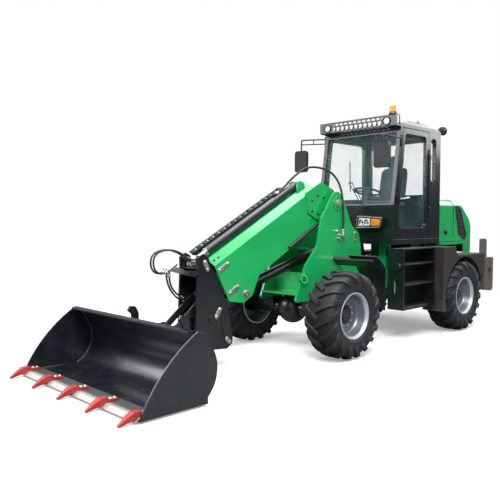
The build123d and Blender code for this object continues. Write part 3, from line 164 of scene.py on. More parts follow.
class Piece:
    # surfaces worked out as arrays are gathered here and become one mesh object
    def __init__(self, name):
        self.name = name
        self.points = []
        self.faces = []
        self.total = 0

    def grid(self, points, wrapRows=False, wrapColumns=False, caps=False):
        # rows and columns of points, one grid or many of the same size, joined by quads
        points = np.asarray(points, float)
        rows, columns = points.shape[-3:-1]
        flat = points.reshape(-1, rows, columns, 3)
        index = np.arange(flat.shape[0] * rows * columns).reshape(flat.shape[:3]) + self.total
        net = np.concatenate([index, index[:, :1]], 1) if wrapRows else index
        net = np.concatenate([net, net[:, :, :1]], 2) if wrapColumns else net
        quads = np.stack([net[:, :-1, :-1], net[:, :-1, 1:], net[:, 1:, 1:], net[:, 1:, :-1]], -1)
        self.faces += quads.reshape(-1, 4).tolist()
        if caps:
            self.faces += index[:, 0, ::-1].tolist() + index[:, -1].tolist()
        self.points.append(flat.reshape(-1, 3))
        self.total += flat.size // 3
        return self

    def plate(self, outline, place, low, high, edge=0.003):
        # an outline carried through its depth, drawn in at both faces so that its edges are round
        ring = np.asarray(outline, float)
        edge = min(edge, (high - low) * 0.45)
        inset = np.array([1.0, 0.3, 0.0, 0.0, 0.3, 1.0]) * edge
        depth = np.array([0.0, 0.3, 1.0, -1.0, -0.3, 0.0]) * edge + np.array([low] * 3 + [high] * 3)
        rings = np.stack([drawIn(ring, i) for i in inset])
        return self.grid(place(rings[..., 0], depth[:, None], rings[..., 1]), wrapColumns=True, caps=True)

    def sidePlate(self, outline, low, high, edge=0.003):
        return self.plate(outline, lambda a, d, b: at(a, d, b), low, high, edge)

    def boomPlate(self, outline, low, high, edge=0.003):
        return self.plate(outline, lambda a, d, b: onBoom(a, b, d), low, high, edge)

    def facePlate(self, outline, low, high, edge=0.003):
        return self.plate(outline, lambda a, d, b: at(d, a, b), low, high, edge)

    def sweep(self, path, profile, up, scale=1.0, closed=False):
        # a profile stands across the path at each of its points, one side of it towards up; a closed path has no ends
        path, profile = np.asarray(path, float), np.asarray(profile, float)
        ahead = unit(np.roll(path, -1, 0) - np.roll(path, 1, 0) if closed else np.gradient(path, axis=0))
        across = unit(np.cross(np.broadcast_to(up, ahead.shape), ahead))
        rise = np.cross(ahead, across)
        scale = np.broadcast_to(scale, len(path))[:, None, None]
        section = across[:, None] * profile[None, :, :1] + rise[:, None] * profile[None, :, 1:]
        return self.grid(path[:, None] + scale * section, wrapRows=closed, wrapColumns=True, caps=not closed)

    def tube(self, path, radius, sides=12, up=(0, 0, 1.0)):
        # a round section of one radius, or of one radius for each point of the path
        return self.sweep(path, ringOf(sides, 1.0), up, radius)

    def lathe(self, profile, centre, axis, steps, wrap=False):
        # a profile of (distance along the axis, radius) turned all the way round it
        profile, axis = np.asarray(profile, float), unit(np.asarray(axis, float))
        points = centre + axis * profile[:, None, :1] + profile[:, None, 1:] * roundAbout(axis, steps)
        return self.grid(points, wrapRows=wrap, wrapColumns=True)

    def bolts(self, spots, axis, radius=0.012, height=0.009):
        # a six-sided head on a round washer at every spot, all worked out at once
        spots, axis = np.asarray(spots, float).reshape(-1, 3), unit(np.asarray(axis, float))
        for sides, rows in ((12, [(-0.002, 1.5), (0.002, 1.5), (0.0025, 1.42)]),
                            (6, [(0.0, 1.05), (height * 0.8, 1.05), (height, 0.85)])):
            level = np.array(rows)[:, None, :]
            ring = axis * level[..., :1] + radius * level[..., 1:] * roundAbout(axis, sides)
            self.grid(spots[:, None, None] + ring[None], wrapColumns=True, caps=True)
        return self

    def done(self, body, finish, slot, sharp, replaces=()):
        # the mesh object; edges sharper than so many degrees stay crisp, and a piece given no body is attached to none
        mesh = bpy.data.meshes.new(self.name)
        mesh.from_pydata(np.concatenate(self.points).tolist(), [], self.faces)
        work = bmesh.new()
        work.from_mesh(mesh)
        bmesh.ops.remove_doubles(work, verts=work.verts, dist=1e-5)
        bmesh.ops.recalc_face_normals(work, faces=work.faces)
        work.to_mesh(mesh)
        work.free()
        mesh.shade_smooth()
        mesh.set_sharp_from_angle(angle=math.radians(sharp))
        mesh.materials.append(finish)
        obj = bpy.data.objects.new(self.name, mesh)
        bpy.context.scene.collection.objects.link(obj)
        if body:
            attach(obj, body)
        if replaces:
            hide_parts(*replaces)
        return obj


class Wire:
    # a socket whose sums and products become Math nodes
    def __init__(self, maker, socket):
        self.maker, self.socket = maker, socket

    def math(self, operation, *others):
        return self.maker.node("ShaderNodeMath", {"operation": operation}, dict(enumerate((self,) + others)))

    def __add__(self, other):
        return self.math("ADD", other)

    def __sub__(self, other):
        return self.math("SUBTRACT", other)

    def __rsub__(self, other):
        return self.maker.node("ShaderNodeMath", {"operation": "SUBTRACT"}, {0: other, 1: self})

    def __mul__(self, other):
        return self.math("MULTIPLY", other)

    __radd__ = __add__
    __rmul__ = __mul__

    def ramp(self, low, high):
        # 0 below low, 1 above high, eased between
        settings = {"interpolation_type": "SMOOTHSTEP"}
        return self.maker.node("ShaderNodeMapRange", settings, {"Value": self, "From Min": low, "From Max": high})


class Finish:
    # one material; node() adds any node from its type, its settings and what goes into its sockets
    def __init__(self, name, **fixed):
        self.material = bpy.data.materials.new(name)
        self.material.use_nodes = True
        self.tree = self.material.node_tree
        self.shader = self.tree.nodes["Principled BSDF"]
        self.set(**fixed)

    def plug(self, socket, value):
        if isinstance(value, Wire):
            self.tree.links.new(value.socket, socket)
        else:
            socket.default_value = value

    def node(self, kind, settings=None, inputs=None, output=0):
        made = self.tree.nodes.new(kind)
        for key, value in (settings or {}).items():
            setattr(made, key, value)
        for key, value in (inputs or {}).items():
            self.plug(made.inputs[key], value)
        return Wire(self, made.outputs[output])

    def set(self, **values):
        for key, value in values.items():
            self.plug(self.shader.inputs[key.replace("_", " ")], value)

    def place(self):
        return self.node("ShaderNodeTexCoord", output="Object")

    def noise(self, scale, detail=3.0, rough=0.55, where=None):
        inputs = {"Vector": where or self.place(), "Scale": scale, "Detail": detail, "Roughness": rough}
        return self.node("ShaderNodeTexNoise", None, inputs)

    def stripes(self, way, scale):
        wave = self.node("ShaderNodeTexWave", {"bands_direction": way}, {"Vector": self.place(), "Scale": scale})
        return self.node("ShaderNodeSeparateColor", None, {"Color": wave})

    def mix(self, factor, a, b):
        # sockets 6, 7 and 2 are the node's two colours and its result
        return self.node("ShaderNodeMix", {"data_type": "RGBA"}, {"Factor": factor, 6: a, 7: b}, output=2)

    def part(self, axis):
        return self.node("ShaderNodeSeparateXYZ", None, {"Vector": self.place()}, output=axis)

    def softEdges(self, radius):
        return self.node("ShaderNodeBevel", {"samples": 4}, {"Radius": radius})

    def edgeMask(self, soft):
        # how far the rounded normal leans from the face's own: 1 along edges, 0 on flats
        face = self.node("ShaderNodeNewGeometry", output="True Normal")
        lean = self.node("ShaderNodeVectorMath", {"operation": "DOT_PRODUCT"}, {0: soft, 1: face}, output="Value")
        return (1 - lean).ramp(0.02, 0.22)

    def bump(self, height, strength, distance=0.001, normal=None):
        inputs = {"Height": height, "Strength": strength, "Distance": distance}
        if normal:
            inputs["Normal"] = normal
        return self.node("ShaderNodeBump", None, inputs)


def colour(r, g, b):
    # screen values 0 to 255 to linear light
    c = np.array([r, g, b]) / 255.0
    c = np.where(c <= 0.04045, c / 12.92, ((c + 0.055) / 1.055) ** 2.4)
    return (*c.tolist(), 1.0)


# Sprayed steel: the scales of its patterns, where dust lies and how far edges are rubbed
sprayed = {"cloud": 1.7, "fine": 38.0, "rub": 23.0, "dust": 5.5, "peel": 260.0, "dustHeight": (0.1, 1.15),
           "dustColour": (150, 140, 124), "rubbed": 0.55}


def coatedSteel(name, paint, shade, worn, gloss, coat=0.0, dust=0.25, edge=0.006, metal=0.0):
    # sprayed steel: broad clouding, orange peel, pale rubbed edges and dust that lies low down
    f = Finish(name, Metallic=metal, Coat_Roughness=0.12)
    cloud = f.noise(sprayed["cloud"], 4.0)
    fine = f.noise(sprayed["fine"], 3.0)
    soft = f.softEdges(edge)
    rub = f.edgeMask(soft) * f.noise(sprayed["rub"], 4.0).ramp(0.38, 0.68)
    low = (1 - f.part("Z").ramp(*sprayed["dustHeight"])) * f.noise(sprayed["dust"], 5.0).ramp(0.3, 0.75) * dust
    tint = f.mix(cloud.ramp(0.3, 0.7), colour(*paint), colour(*shade))
    tint = f.mix(low, tint, colour(*sprayed["dustColour"]))
    f.set(Base_Color=f.mix(rub * sprayed["rubbed"], tint, colour(*worn)))
    f.set(Roughness=(fine - 0.5) * 0.10 + gloss + low * 0.5)
    f.set(Coat_Weight=coat)
    f.set(Normal=f.bump(f.noise(sprayed["peel"], 2.0), 0.10, 0.0006, soft))
    return f.material


greenPaint = coatedSteel("green_paint", (26, 178, 96), (22, 166, 88), (120, 205, 145), 0.20, 0.8, 0.2)
blackPaint = coatedSteel("black_paint", (20, 23, 28), (15, 18, 22), (84, 88, 92), 0.30, 0.35, 0.06)
bucketPaint = coatedSteel("bucket_paint", (20, 25, 35), (15, 20, 29), (96, 98, 102), 0.24, 0.5, 0.05)
cabPaint = coatedSteel("cab_paint", (22, 26, 32), (18, 21, 26), (70, 76, 82), 0.26, 0.45, 0.1)
# the rear fenders carry the counterweight's paint darkened, as painted shade on faces turned from the light
fenderShadePaint = coatedSteel("fender_paint_shaded", (48, 44, 41), (40, 37, 34), (92, 86, 80), 0.48, 0.1, 0.25)
weightPaint = coatedSteel("weight_paint", (92, 87, 81), (80, 76, 70), (132, 126, 118), 0.55, 0.0, 0.25)
rubbedPaint = coatedSteel("rubbed_paint", (96, 98, 100), (60, 62, 66), (176, 174, 170), 0.42, 0.0, 0.05)
# rim and flange silver are shaded and lit copies of one paint: the darker silver on the dish is painted shade, the
# brighter flange ring a painted highlight
rimPaint = coatedSteel("rim_silver", (132, 138, 148), (118, 124, 134), (190, 192, 196), 0.34, 0.2, 0.2, 0.004, 0.6)
flangeHighlightPaint = coatedSteel("flange_silver_highlight", (204, 207, 212), (190, 194, 200), (226, 228, 230), 0.36, 0.2, 0.15, 0.004, 0.3)
ironPaint = coatedSteel("engine_iron", (52, 54, 56), (42, 44, 46), (100, 100, 100), 0.55)
toothPaint = coatedSteel("tooth_red", (186, 40, 42), (166, 32, 34), (206, 120, 112), 0.40, 0.2, 0.1)
print("paints made")


def plainSteel(name, base, dark, gloss, brushed):
    # bare or plated steel: fine lines along one way and a little tarnish
    f = Finish(name, Metallic=1.0)
    where = f.node("ShaderNodeMapping", None, {"Vector": f.place(), "Scale": brushed})
    lines = f.noise(180.0, 2.0, 0.5, where)
    spots = f.noise(14.0, 5.0).ramp(0.48, 0.72)
    f.set(Base_Color=f.mix(spots, colour(*base), colour(*dark)))
    f.set(Roughness=(lines - 0.5) * 0.16 + gloss + spots * 0.14)
    f.set(Normal=f.bump(lines, 0.05, 0.0005, f.softEdges(0.004)))
    return f.material


rodChrome = plainSteel("rod_chrome", (214, 217, 222), (176, 182, 190), 0.14, (0.15, 1.0, 1.0))
zincSteel = plainSteel("zinc_steel", (205, 203, 196), (160, 156, 146), 0.38, (1.0, 0.4, 1.0))
brassSteel = plainSteel("yellow_zinc", (196, 172, 112), (150, 124, 76), 0.36, (1.0, 0.4, 1.0))


def edgeSteelFinish():
    # ground steel: long scratches along the digging direction, rust film towards the back
    f = Finish("edge_steel", Metallic=0.55)
    where = f.node("ShaderNodeMapping", None, {"Vector": f.place(), "Scale": (0.12, 1.0, 1.0)})
    scratch = f.noise(90.0, 5.0, 0.6, where)
    rust = 1 - (f.part("X") + f.noise(9.0, 6.0, 0.65) * 0.05).ramp(3.37, 3.45)
    bare = f.mix(scratch.ramp(0.35, 0.7), colour(176, 171, 164), colour(208, 205, 201))
    f.set(Base_Color=f.mix(rust, bare, colour(74, 74, 76)), Roughness=scratch * 0.25 + 0.35 + rust * 0.2)
    f.set(Normal=f.bump(scratch, 0.15, 0.0006, f.softEdges(0.004)))
    return f.material


def rubberFinish(name, base, dusty, gloss, dirt):
    # moulded rubber: small pits, and grey dust in random blotches
    f = Finish(name)
    pits = f.noise(140.0, 4.0, 0.6)
    blotch = f.noise(7.0, 5.0, 0.6).ramp(0.38, 0.72)
    f.set(Base_Color=f.mix(blotch * dirt, colour(*base), colour(*dusty)), Roughness=pits * 0.18 + gloss)
    f.set(Normal=f.bump(pits, 0.22, 0.0012))
    return f.material


def glassFinish(name, tint, alpha):
    # pale tinted pane, a film of dust that shows as less clear patches
    f = Finish(name, Base_Color=colour(*tint), IOR=1.45)
    film = f.noise(2.2, 5.0, 0.6).ramp(0.35, 0.8)
    f.set(Alpha=film * 0.06 + alpha, Roughness=film * 0.07 + 0.02)
    f.material.surface_render_method = "DITHERED"
    return f.material


def lensFinish(name, base, ribLight, ribs):
    # moulded lens: fine upright ribs under a smooth clear face; bands along the ribs are painted in a second colour, as
    # painted light and shade on the ribs
    f = Finish(name, Roughness=0.12, Coat_Weight=0.6, Coat_Roughness=0.05)
    value = f.stripes("Y", ribs)
    f.set(Base_Color=f.mix(value * 0.35, colour(*base), colour(*ribLight)))
    f.set(Normal=f.bump(value, 0.3, 0.002))
    return f.material


def fabricFinish():
    # woven seat cloth: two sets of threads across each other, and soft fading
    f = Finish("seat_fabric", Roughness=0.85, Sheen_Weight=0.25)
    weave = f.stripes("Y", 190.0).math("MAXIMUM", f.stripes("Z", 190.0))
    fade = f.noise(4.0, 3.0).ramp(0.3, 0.75)
    f.set(Base_Color=f.mix(fade, colour(44, 46, 50), colour(58, 60, 64)), Normal=f.bump(weave, 0.35, 0.0015))
    return f.material


def plasticFinish(name, base, pale, gloss):
    # moulded plastic with a leather-like grain
    f = Finish(name)
    grain = f.node("ShaderNodeTexVoronoi", {"feature": "F1"}, {"Vector": f.place(), "Scale": 420.0})
    fade = f.noise(3.0, 4.0).ramp(0.3, 0.75)
    soft = f.softEdges(0.004)
    f.set(Base_Color=f.mix(fade * 0.7 + f.edgeMask(soft) * 0.2, colour(*base), colour(*pale)))
    f.set(Roughness=grain * 0.15 + gloss)
    f.set(Normal=f.bump(grain, 0.12, 0.0006, soft))
    return f.material


edgeSteel = edgeSteelFinish()
tyreRubber = rubberFinish("tyre_rubber", (24, 26, 29), (56, 55, 53), 0.55, 0.45)
hoseRubber = rubberFinish("hose_rubber", (26, 28, 30), (58, 58, 58), 0.45, 0.4)
clearGlass = glassFinish("clear_glass", (120, 168, 162), 0.055)
lampClear = lensFinish("lamp_clear", (226, 230, 234), (176, 184, 194), 60.0)
lampAmber = lensFinish("lamp_amber", (240, 140, 40), (250, 180, 90), 60.0)
lampRed = lensFinish("lamp_red", (196, 40, 34), (226, 84, 70), 60.0)
beaconAmber = lensFinish("beacon_amber", (244, 150, 40), (252, 196, 110), 40.0)
seatFabric = fabricFinish()
blackPlastic = plasticFinish("black_plastic", (18, 20, 24), (32, 35, 39), 0.38)
cabPlastic = plasticFinish("cab_plastic", (30, 32, 36), (46, 48, 52), 0.5)
print("finishes made")

# What each solid of the model is finished in
solidFinishes = {
    greenPaint: "front_frame boom_outer rear_frame hood",
    blackPaint: "front_axle front_fenders extension_barrel boom_head rocker tilt_link tilt_barrel lift_barrel "
                "quick_coupler steer_barrel rear_axle side_steps",
    bucketPaint: "bucket_shell", edgeSteel: "cutting_edge", toothPaint: "bucket_teeth",
    rodChrome: "extension_rod tilt_rod lift_rod steer_rod",
    fenderShadePaint: "rear_fenders", weightPaint: "counterweight", ironPaint: "engine_block exhaust",
    cabPaint: "cab_floor cab_front cab_right cab_left cab_rear cab_roof cab_door roof_visor",
    clearGlass: "cab_glass door_glass", lampRed: "tail_lamps", beaconAmber: "beacon",
    blackPlastic: "mirrors hood_grilles boom_lines lamps", zincSteel: "hose_couplers",
    hoseRubber: "boom_hose loop_hose_left loop_hose_right drop_hose_left drop_hose_right",
    cabPlastic: "cab_controls", seatFabric: "operator_seat",
    tyreRubber: "tyre_front_left tyre_front_right tyre_rear_left tyre_rear_right",
    rimPaint: "rim_front_left rim_front_right rim_rear_left rim_rear_right",
}
for finish, names in solidFinishes.items():
    for name in names.split():
        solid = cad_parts[name]
        solid.data.materials.clear()
        solid.data.materials.append(finish)
print("solids finished")

# Camera at the photograph's place, and the studio
view = {"place": (6.152, 5.178, 1.668), "yaw": 225.675, "pitch": -2.844, "lens": 43.2, "sensor": 36.0, "reach": 200.0}
camera = bpy.data.objects.new("camera", bpy.data.cameras.new("camera"))
camera.data.lens = view["lens"]
camera.data.sensor_width = view["sensor"]
camera.data.clip_end = view["reach"]
camera.location = view["place"]
yaw, pitch = math.radians(view["yaw"]), math.radians(view["pitch"])
ahead = Vector((math.cos(yaw) * math.cos(pitch), math.sin(yaw) * math.cos(pitch), math.sin(pitch)))
camera.rotation_euler = ahead.to_track_quat("-Z", "Y").to_euler()
bpy.context.scene.collection.objects.link(camera)
bpy.context.scene.camera = camera
bpy.context.scene.view_settings.view_transform = "Standard"

studio = {"air": (0.94, 0.97, 1.0, 1.0), "sky": 0.46, "horizon": (0.02, 0.75), "low": 0.10, "high": 1.5,
          "white": (1, 1, 1, 1), "floor": (0.93, 0.935, 0.94, 1.0), "ground": (0.26, 0.27, 0.28, 1.0), "lift": 0.30,
          "floorHalf": 60, "floorTop": -0.002, "fade": (3.4, 7.0), "aim": (0.2, 0.0, 1.0)}
lampSettings = [
    ("key", (5.5, 5.5, 8.5), 1150.0, 5.0),
    ("fill", (6.5, -4.5, 5.0), 260.0, 5.0),
    ("top", (-1.0, 0.0, 9.0), 520.0, 6.0),
    ("back", (-8.0, 3.0, 5.5), 260.0, 5.0),
]
for name, place, power, size in lampSettings:
    lamp = bpy.data.lights.new(name, "AREA")
    lamp.energy, lamp.size, lamp.shape = power, size, "DISK"
    holder = bpy.data.objects.new(name, lamp)
    holder.location = place
    holder.rotation_euler = (Vector(studio["aim"]) - holder.location).to_track_quat("-Z", "Y").to_euler()
    bpy.context.scene.collection.objects.link(holder)


class Sky(Finish):
    # the same node helpers on the world's tree
    def __init__(self):
        self.world = bpy.data.worlds.new("studio")
        self.world.use_nodes = True
        self.tree = self.world.node_tree

    def light(self, tint, strength):
        return self.node("ShaderNodeBackground", None, {"Color": tint, "Strength": strength})


# White to the camera and through glass; in reflections dark at the horizon and bright overhead, as outdoors
sky = Sky()
bpy.context.scene.world = sky.world
seen, glossy, through = (sky.node("ShaderNodeLightPath", output=f"Is {kind} Ray")
                         for kind in ("Camera", "Glossy", "Transmission"))
heading = sky.node("ShaderNodeTexCoord", output="Generated")
height = sky.node("ShaderNodeSeparateXYZ", None, {"Vector": heading}, output="Z").ramp(*studio["horizon"])
soft = sky.light(studio["air"], studio["sky"])
shine = sky.light(studio["air"], height * studio["high"] + studio["low"])
white = sky.light(studio["white"], 1.0)
lit = sky.node("ShaderNodeMixShader", None, {0: glossy, 1: soft, 2: shine})
shown = sky.node("ShaderNodeMixShader", None, {0: seen.math("MAXIMUM", through), 1: lit, 2: white})
sky.plug(sky.tree.nodes["World Output"].inputs[0], shown)

# The floor takes shadows near the machine and fades to plain white further off
reach, top = studio["floorHalf"], studio["floorTop"]
floorMesh = bpy.data.meshes.new("floor")
corners = [(-reach, -reach, top), (reach, -reach, top), (reach, reach, top), (-reach, reach, top)]
floorMesh.from_pydata(corners, [], [(0, 1, 2, 3)])
pale = Finish("pale_floor", Roughness=0.9, Specular_IOR_Level=0.0)
lift = pale.node("ShaderNodeEmission", None, {"Color": studio["white"], "Strength": studio["lift"]})
sight = pale.node("ShaderNodeLightPath", output="Is Camera Ray")
pale.set(Base_Color=pale.mix(sight, studio["ground"], studio["floor"]))
lifted = pale.node("ShaderNodeMixShader", None, {0: sight, 2: lift})
near = pale.node("ShaderNodeAddShader", None, {0: Wire(pale, pale.shader.outputs[0]), 1: lifted})
away = pale.node("ShaderNodeVectorMath", {"operation": "LENGTH"}, {0: pale.place()}, output="Value").ramp(*studio["fade"])
plain = pale.node("ShaderNodeEmission", None, {"Color": studio["white"], "Strength": 1.0})
faded = pale.node("ShaderNodeMixShader", None, {0: away * sight, 1: near, 2: plain})
pale.plug(pale.tree.nodes["Material Output"].inputs[0], faded)
floorMesh.materials.append(pale.material)
floor = bpy.data.objects.new("floor", floorMesh)
bpy.context.scene.collection.objects.link(floor)
floor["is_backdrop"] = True
print("camera and studio made")

# Hoses: one smooth spline each on the model's route, a few points moved to open the bends, with crimped steel ends
hoseRoutes = {
    "boom_hose": ("front_frame", 0.014, [
        onBoom(0.7595, 0.517, 0.060), onBoom(0.600, 0.517, 0.060), onBoom(0.430, 0.570, 0.075),
        at(-0.170, 0.110, 2.385), at(-0.560, 0.240, 2.310), at(-0.640, 0.345, 1.940), at(-0.606, 0.345, 1.492)]),
}
for hand, y, x, z in (("left", -0.005, 1.690, 0.800), ("right", -0.055, 1.660, 0.750)):
    hoseRoutes["loop_hose_" + hand] = ("inner_boom", 0.010, [
        onBoom(2.280, 0.3955, y), onBoom(2.280, 0.5145, y), at(1.9665, y, 1.3655), at(2.1796, y, 1.3165),
        at(2.1918, y, 1.1532), at(2.0794, y, 1.0821), at(2.007, y, 1.1255)])
    hoseRoutes["drop_hose_" + hand] = ("inner_boom", 0.010, [
        at(1.985, y, 1.0996), at(1.985, y, 0.985), at(1.800, -0.122, z + 0.045), at(x + 0.018, -0.126, z + 0.003)])
# a nut, a neck and a crimped sleeve, in radii of the hose
ferruleTurned = np.array([(0.0, 1.0), (0.0, 1.6), (1.1, 1.6), (1.2, 1.25), (1.7, 1.25), (1.8, 1.5), (3.6, 1.5),
                          (3.9, 1.3), (4.0, 1.0)])


def makeHose(node, body, radius, route, far):
    curve = bpy.data.curves.new("line_" + node, "CURVE")
    curve.dimensions = "3D"
    spline = curve.splines.new("NURBS")
    spline.points.add(len(route) - 1)
    spline.points.foreach_set("co", np.insert(np.array(route), 3, 1.0, axis=1).ravel())
    spline.order_u = 3
    spline.use_endpoint_u = True
    spline.resolution_u = 24
    obj = bpy.data.objects.new("line_" + node, curve)
    bpy.context.scene.collection.objects.link(obj)
    drawn = bpy.data.meshes.new_from_object(obj)
    line = np.array([v.co[:] for v in drawn.vertices])
    bpy.data.meshes.remove(drawn)
    ends = [("start", line[0], line[1] - line[0], far or body), ("end", line[-1], line[-2] - line[-1], body)]
    sleeves = []
    for end, tip, ahead, holder in ends:
        ferrule = Piece(f"ferrule_{node}_{end}").lathe(ferruleTurned * radius, tip, ahead, 18)
        sleeves.append(ferrule.done(holder, zincSteel, "rod_chrome", 28))
    length = float(np.linalg.norm(np.diff(line, axis=0), axis=1).sum())
    cord = {"exit": tuple(line[0]), "length": length, "diameter": 2 * radius, "far_end": "object",
            "stiffness": "stiff", "lay": "loose", "with_pieces": sleeves}
    if far:
        # across a joint it is a mesh tube on the same line, reaching between the two bodies
        bpy.data.objects.remove(obj)
        tube = Piece("tube_" + node).tube(line, radius, 16, (0, 1.0, 0))
        obj = tube.done(None, hoseRubber, "hose_rubber", 60, [node])
        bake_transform(obj)
        return
    curve.bevel_depth = radius
    curve.bevel_resolution = 5
    curve.use_fill_caps = True
    curve.materials.append(hoseRubber)
    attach(obj, body)
    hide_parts(node)


for node, (body, radius, route) in hoseRoutes.items():
    makeHose(node, body, radius, route, "boom" if node == "boom_hose" else None)
print("hoses made")

# Tyres: a carcass turned from its half profile, and bars that slant back from the crown to each shoulder
tyre = {"lugs": 18, "height": 0.034, "slant": 0.40, "outer": 0.530, "crown": 0.5, "past": 0.012, "steps": 40, "round": 96,
        "profile": [(0.0, 0.4975), (0.06, 0.4965), (0.12, 0.492), (0.165, 0.478), (0.191, 0.445), (0.199, 0.40),
                    (0.198, 0.35), (0.188, 0.306), (0.172, 0.284), (0.1645, 0.270), (0.1645, 0.2625)],
        "ribs": [(0.318, 0.004), (0.372, 0.003)]}


def makeTyre(name, x, side):
    piece = Piece(name)
    half = smoothLine(tyre["profile"], tyre["steps"])
    whole = np.concatenate([half[::-1] * (-1, 1), half[1:]])
    centre = at(x, side * halfTrack, axleHeight)
    piece.lathe(whole, centre, side * leftward, tyre["round"], wrap=True)
    # along the bar: s from the crown over the shoulder; the bar stands on the profile by its height
    s = np.linspace(0.0, 1.0, 15)
    where = np.interp(s, [0, 0.62, 1.0], [0.0, 15.0, 22.5])
    base = np.stack([np.interp(where, np.arange(tyre["steps"]), half[:, i]) for i in (0, 1)], 1)
    out = unit(np.stack([-np.gradient(base[:, 1]), np.gradient(base[:, 0])], 1))
    out[0] = (0, 1)
    rise = tyre["height"] * np.interp(s, [0, 0.55, 0.8, 1.0], [1.0, 1.0, 0.62, 0.06])
    width = np.interp(s, [0, 0.15, 0.6, 1.0], [0.021, 0.026, 0.033, 0.036])
    # across the bar: foot, flank, rounded top, flank, foot
    level = np.array([-0.35, 0.75, 1.0, 1.0, 0.75, -0.35])
    reach = np.array([-1.28, -1.02, -0.86, 0.86, 1.02, 1.28])
    point = base[:, None] + out[:, None] * (rise[:, None] * level[None])[..., None]
    radius = np.minimum(point[..., 1], tyre["outer"])
    turn = -tyre["slant"] * (s**0.9)[:, None] + width[:, None] * reach[None] / tyre["crown"]
    for hand in sides:
        step = (np.arange(tyre["lugs"]) + (0.5 if hand < 0 else 0.0)) * 2 * math.pi / tyre["lugs"]
        angle = step[:, None, None] + turn[None]
        y = side * halfTrack + hand * (point[..., 0] - tyre["past"] * (1 - s)[:, None])
        bars = at(x + radius * np.sin(angle), np.broadcast_to(y, angle.shape), axleHeight + radius * np.cos(angle))
        piece.grid(bars, wrapColumns=True, caps=True)
    # two thin raised rings on each wall
    for r, thick in tyre["ribs"]:
        y = np.interp(r, half[::-1, 1], half[::-1, 0])
        for hand in sides:
            piece.lathe(ringOf(8, thick) + (hand * y, r), centre, side * leftward, tyre["round"], wrap=True)
    node = name.replace("lugged_", "")
    piece.done("wheel_" + node[5:], tyreRubber, "tyre_rubber", 40, [node])


# Rims: the dish, disc and flange of one profile, then a dark hub with its ring of nuts
rim = {"profile": [(-0.18, 0.262), (-0.18, 0.280), (-0.174, 0.283), (-0.166, 0.281), (-0.164, 0.2615), (0.164, 0.2615),
                   (0.166, 0.281), (0.174, 0.283), (0.180, 0.280), (0.180, 0.268), (0.172, 0.262), (0.13, 0.247),
                   (0.07, 0.232), (0.05, 0.225), (0.038, 0.212), (0.034, 0.19), (0.031, 0.10), (0.0, 0.10), (0.014, 0.2),
                   (-0.10, 0.236)],
       "flange": [(0.1655, 0.2805), (0.1737, 0.2836), (0.1808, 0.2806), (0.1808, 0.2675), (0.1720, 0.2612),
                  (0.140, 0.2490), (0.140, 0.2510), (0.172, 0.2640), (0.178, 0.2690), (0.176, 0.2790),
                  (0.1735, 0.2810), (0.167, 0.2790)],
       "hub": [(-0.1, 0.118), (0.0, 0.118), (0.036, 0.118), (0.040, 0.112), (0.042, 0.088), (0.060, 0.085),
               (0.065, 0.080), (0.067, 0.03), (0.067, 0.0001), (-0.1, 0.0001)],
       "nuts": 10, "nutRing": 0.132, "nutFace": 0.033, "hubBolts": 8, "boltRing": 0.062, "boltFace": 0.066, "round": 72}


def spotsRound(count, radius, start=0.0):
    # spots round the axle, the first one straight up at a start of 0
    z, x = ringOf(count, radius, start).T
    return np.stack([x, np.zeros(count), z], 1)


def makeRim(name, x, side):
    centre, axis = at(x, side * halfTrack, axleHeight), side * leftward
    body = "wheel_" + name[4:]
    dish = Piece("dish_" + name).lathe(rim["profile"], centre, axis, rim["round"], wrap=True)
    dish.done(body, rimPaint, "rim_silver", 28, [name])
    # the flange ring carries the brighter copy of the rim's silver, a painted highlight
    flange = Piece("flange_" + name)
    for hand in sides:
        flange.lathe(np.array(rim["flange"]) * (hand, 1), centre, axis, rim["round"], wrap=True)
    flange.done(body, flangeHighlightPaint, "rim_silver", 28)
    hub = Piece("hub_" + name).lathe(rim["hub"], centre, axis, 48)
    hub.bolts(centre + spotsRound(rim["hubBolts"], rim["boltRing"]) + axis * rim["boltFace"], axis, 0.008, 0.008)
    hub.done(body, blackPaint, "black_paint", 30)
    spots = spotsRound(rim["nuts"], rim["nutRing"], math.pi / rim["nuts"])
    nuts = Piece("nuts_" + name).bolts(centre + spots + axis * rim["nutFace"], axis, 0.011, 0.016)
    nuts.done(body, zincSteel, "rod_chrome", 30)


for end, x in (("front", 0.0), ("rear", -wheelBase)):
    for hand, side in (("left", 1), ("right", -1)):
        makeTyre(f"lugged_tyre_{end}_{hand}", x, side)
        makeRim(f"rim_{end}_{hand}", x, side)
print("wheels made")

# Steel locking plates and wear plates: flat bars with two bolts each, lying on the boom and its head
plates = {"head": [(2.2195, 0.409, 2.222, 0.320), (2.278, -0.170, 2.362, -0.213), (2.351, -0.519, 2.333, -0.572)],
          "boom": [(2.102, 0.238, 1.963, 0.240), (2.085, -0.071, 1.952, -0.068)],
          "thick": 0.010, "cheekFace": 0.224, "cornerBolts": (2.02, 2.09), "corner": (0.355, 0.160),
          "cheekBolts": [(0.341, 0.221), (0.221, 0.224), (0.123, 0.147), (0.195, 0.008), (0.407, 0.094), (0.318, 0.011)]}
for name, body, y, half in (("head", "inner_boom", 0.165, 0.027), ("boom", "boom", 0.2, 0.025)):
    piece = Piece("lock_plates_" + name)
    for side in sides:
        for u0, v0, u1, v1 in plates[name]:
            piece.boomPlate(strip((u0, v0), (u1, v1), half), *outward(side, y - sink, y + plates["thick"]))
            spots = [onBoom(u, v, side * (y + plates["thick"] - sink)) for u, v in ((u0, v0), (u1, v1))]
            piece.bolts(spots, side * leftward, 0.011, 0.009)
    piece.done(body, zincSteel, "rod_chrome", 30)
piece = Piece("cheek_bolts")
for side in sides:
    piece.bolts([onBoom(u, v, side * plates["cheekFace"]) for u, v in plates["cheekBolts"]], side * leftward, 0.013, 0.010)
    v, y = plates["corner"]
    piece.bolts([onBoom(u, v, side * y) for u in plates["cornerBolts"]], unit(side * leftward + boomUp), 0.010, 0.008)
piece.done("boom", blackPaint, "black_paint", 30)

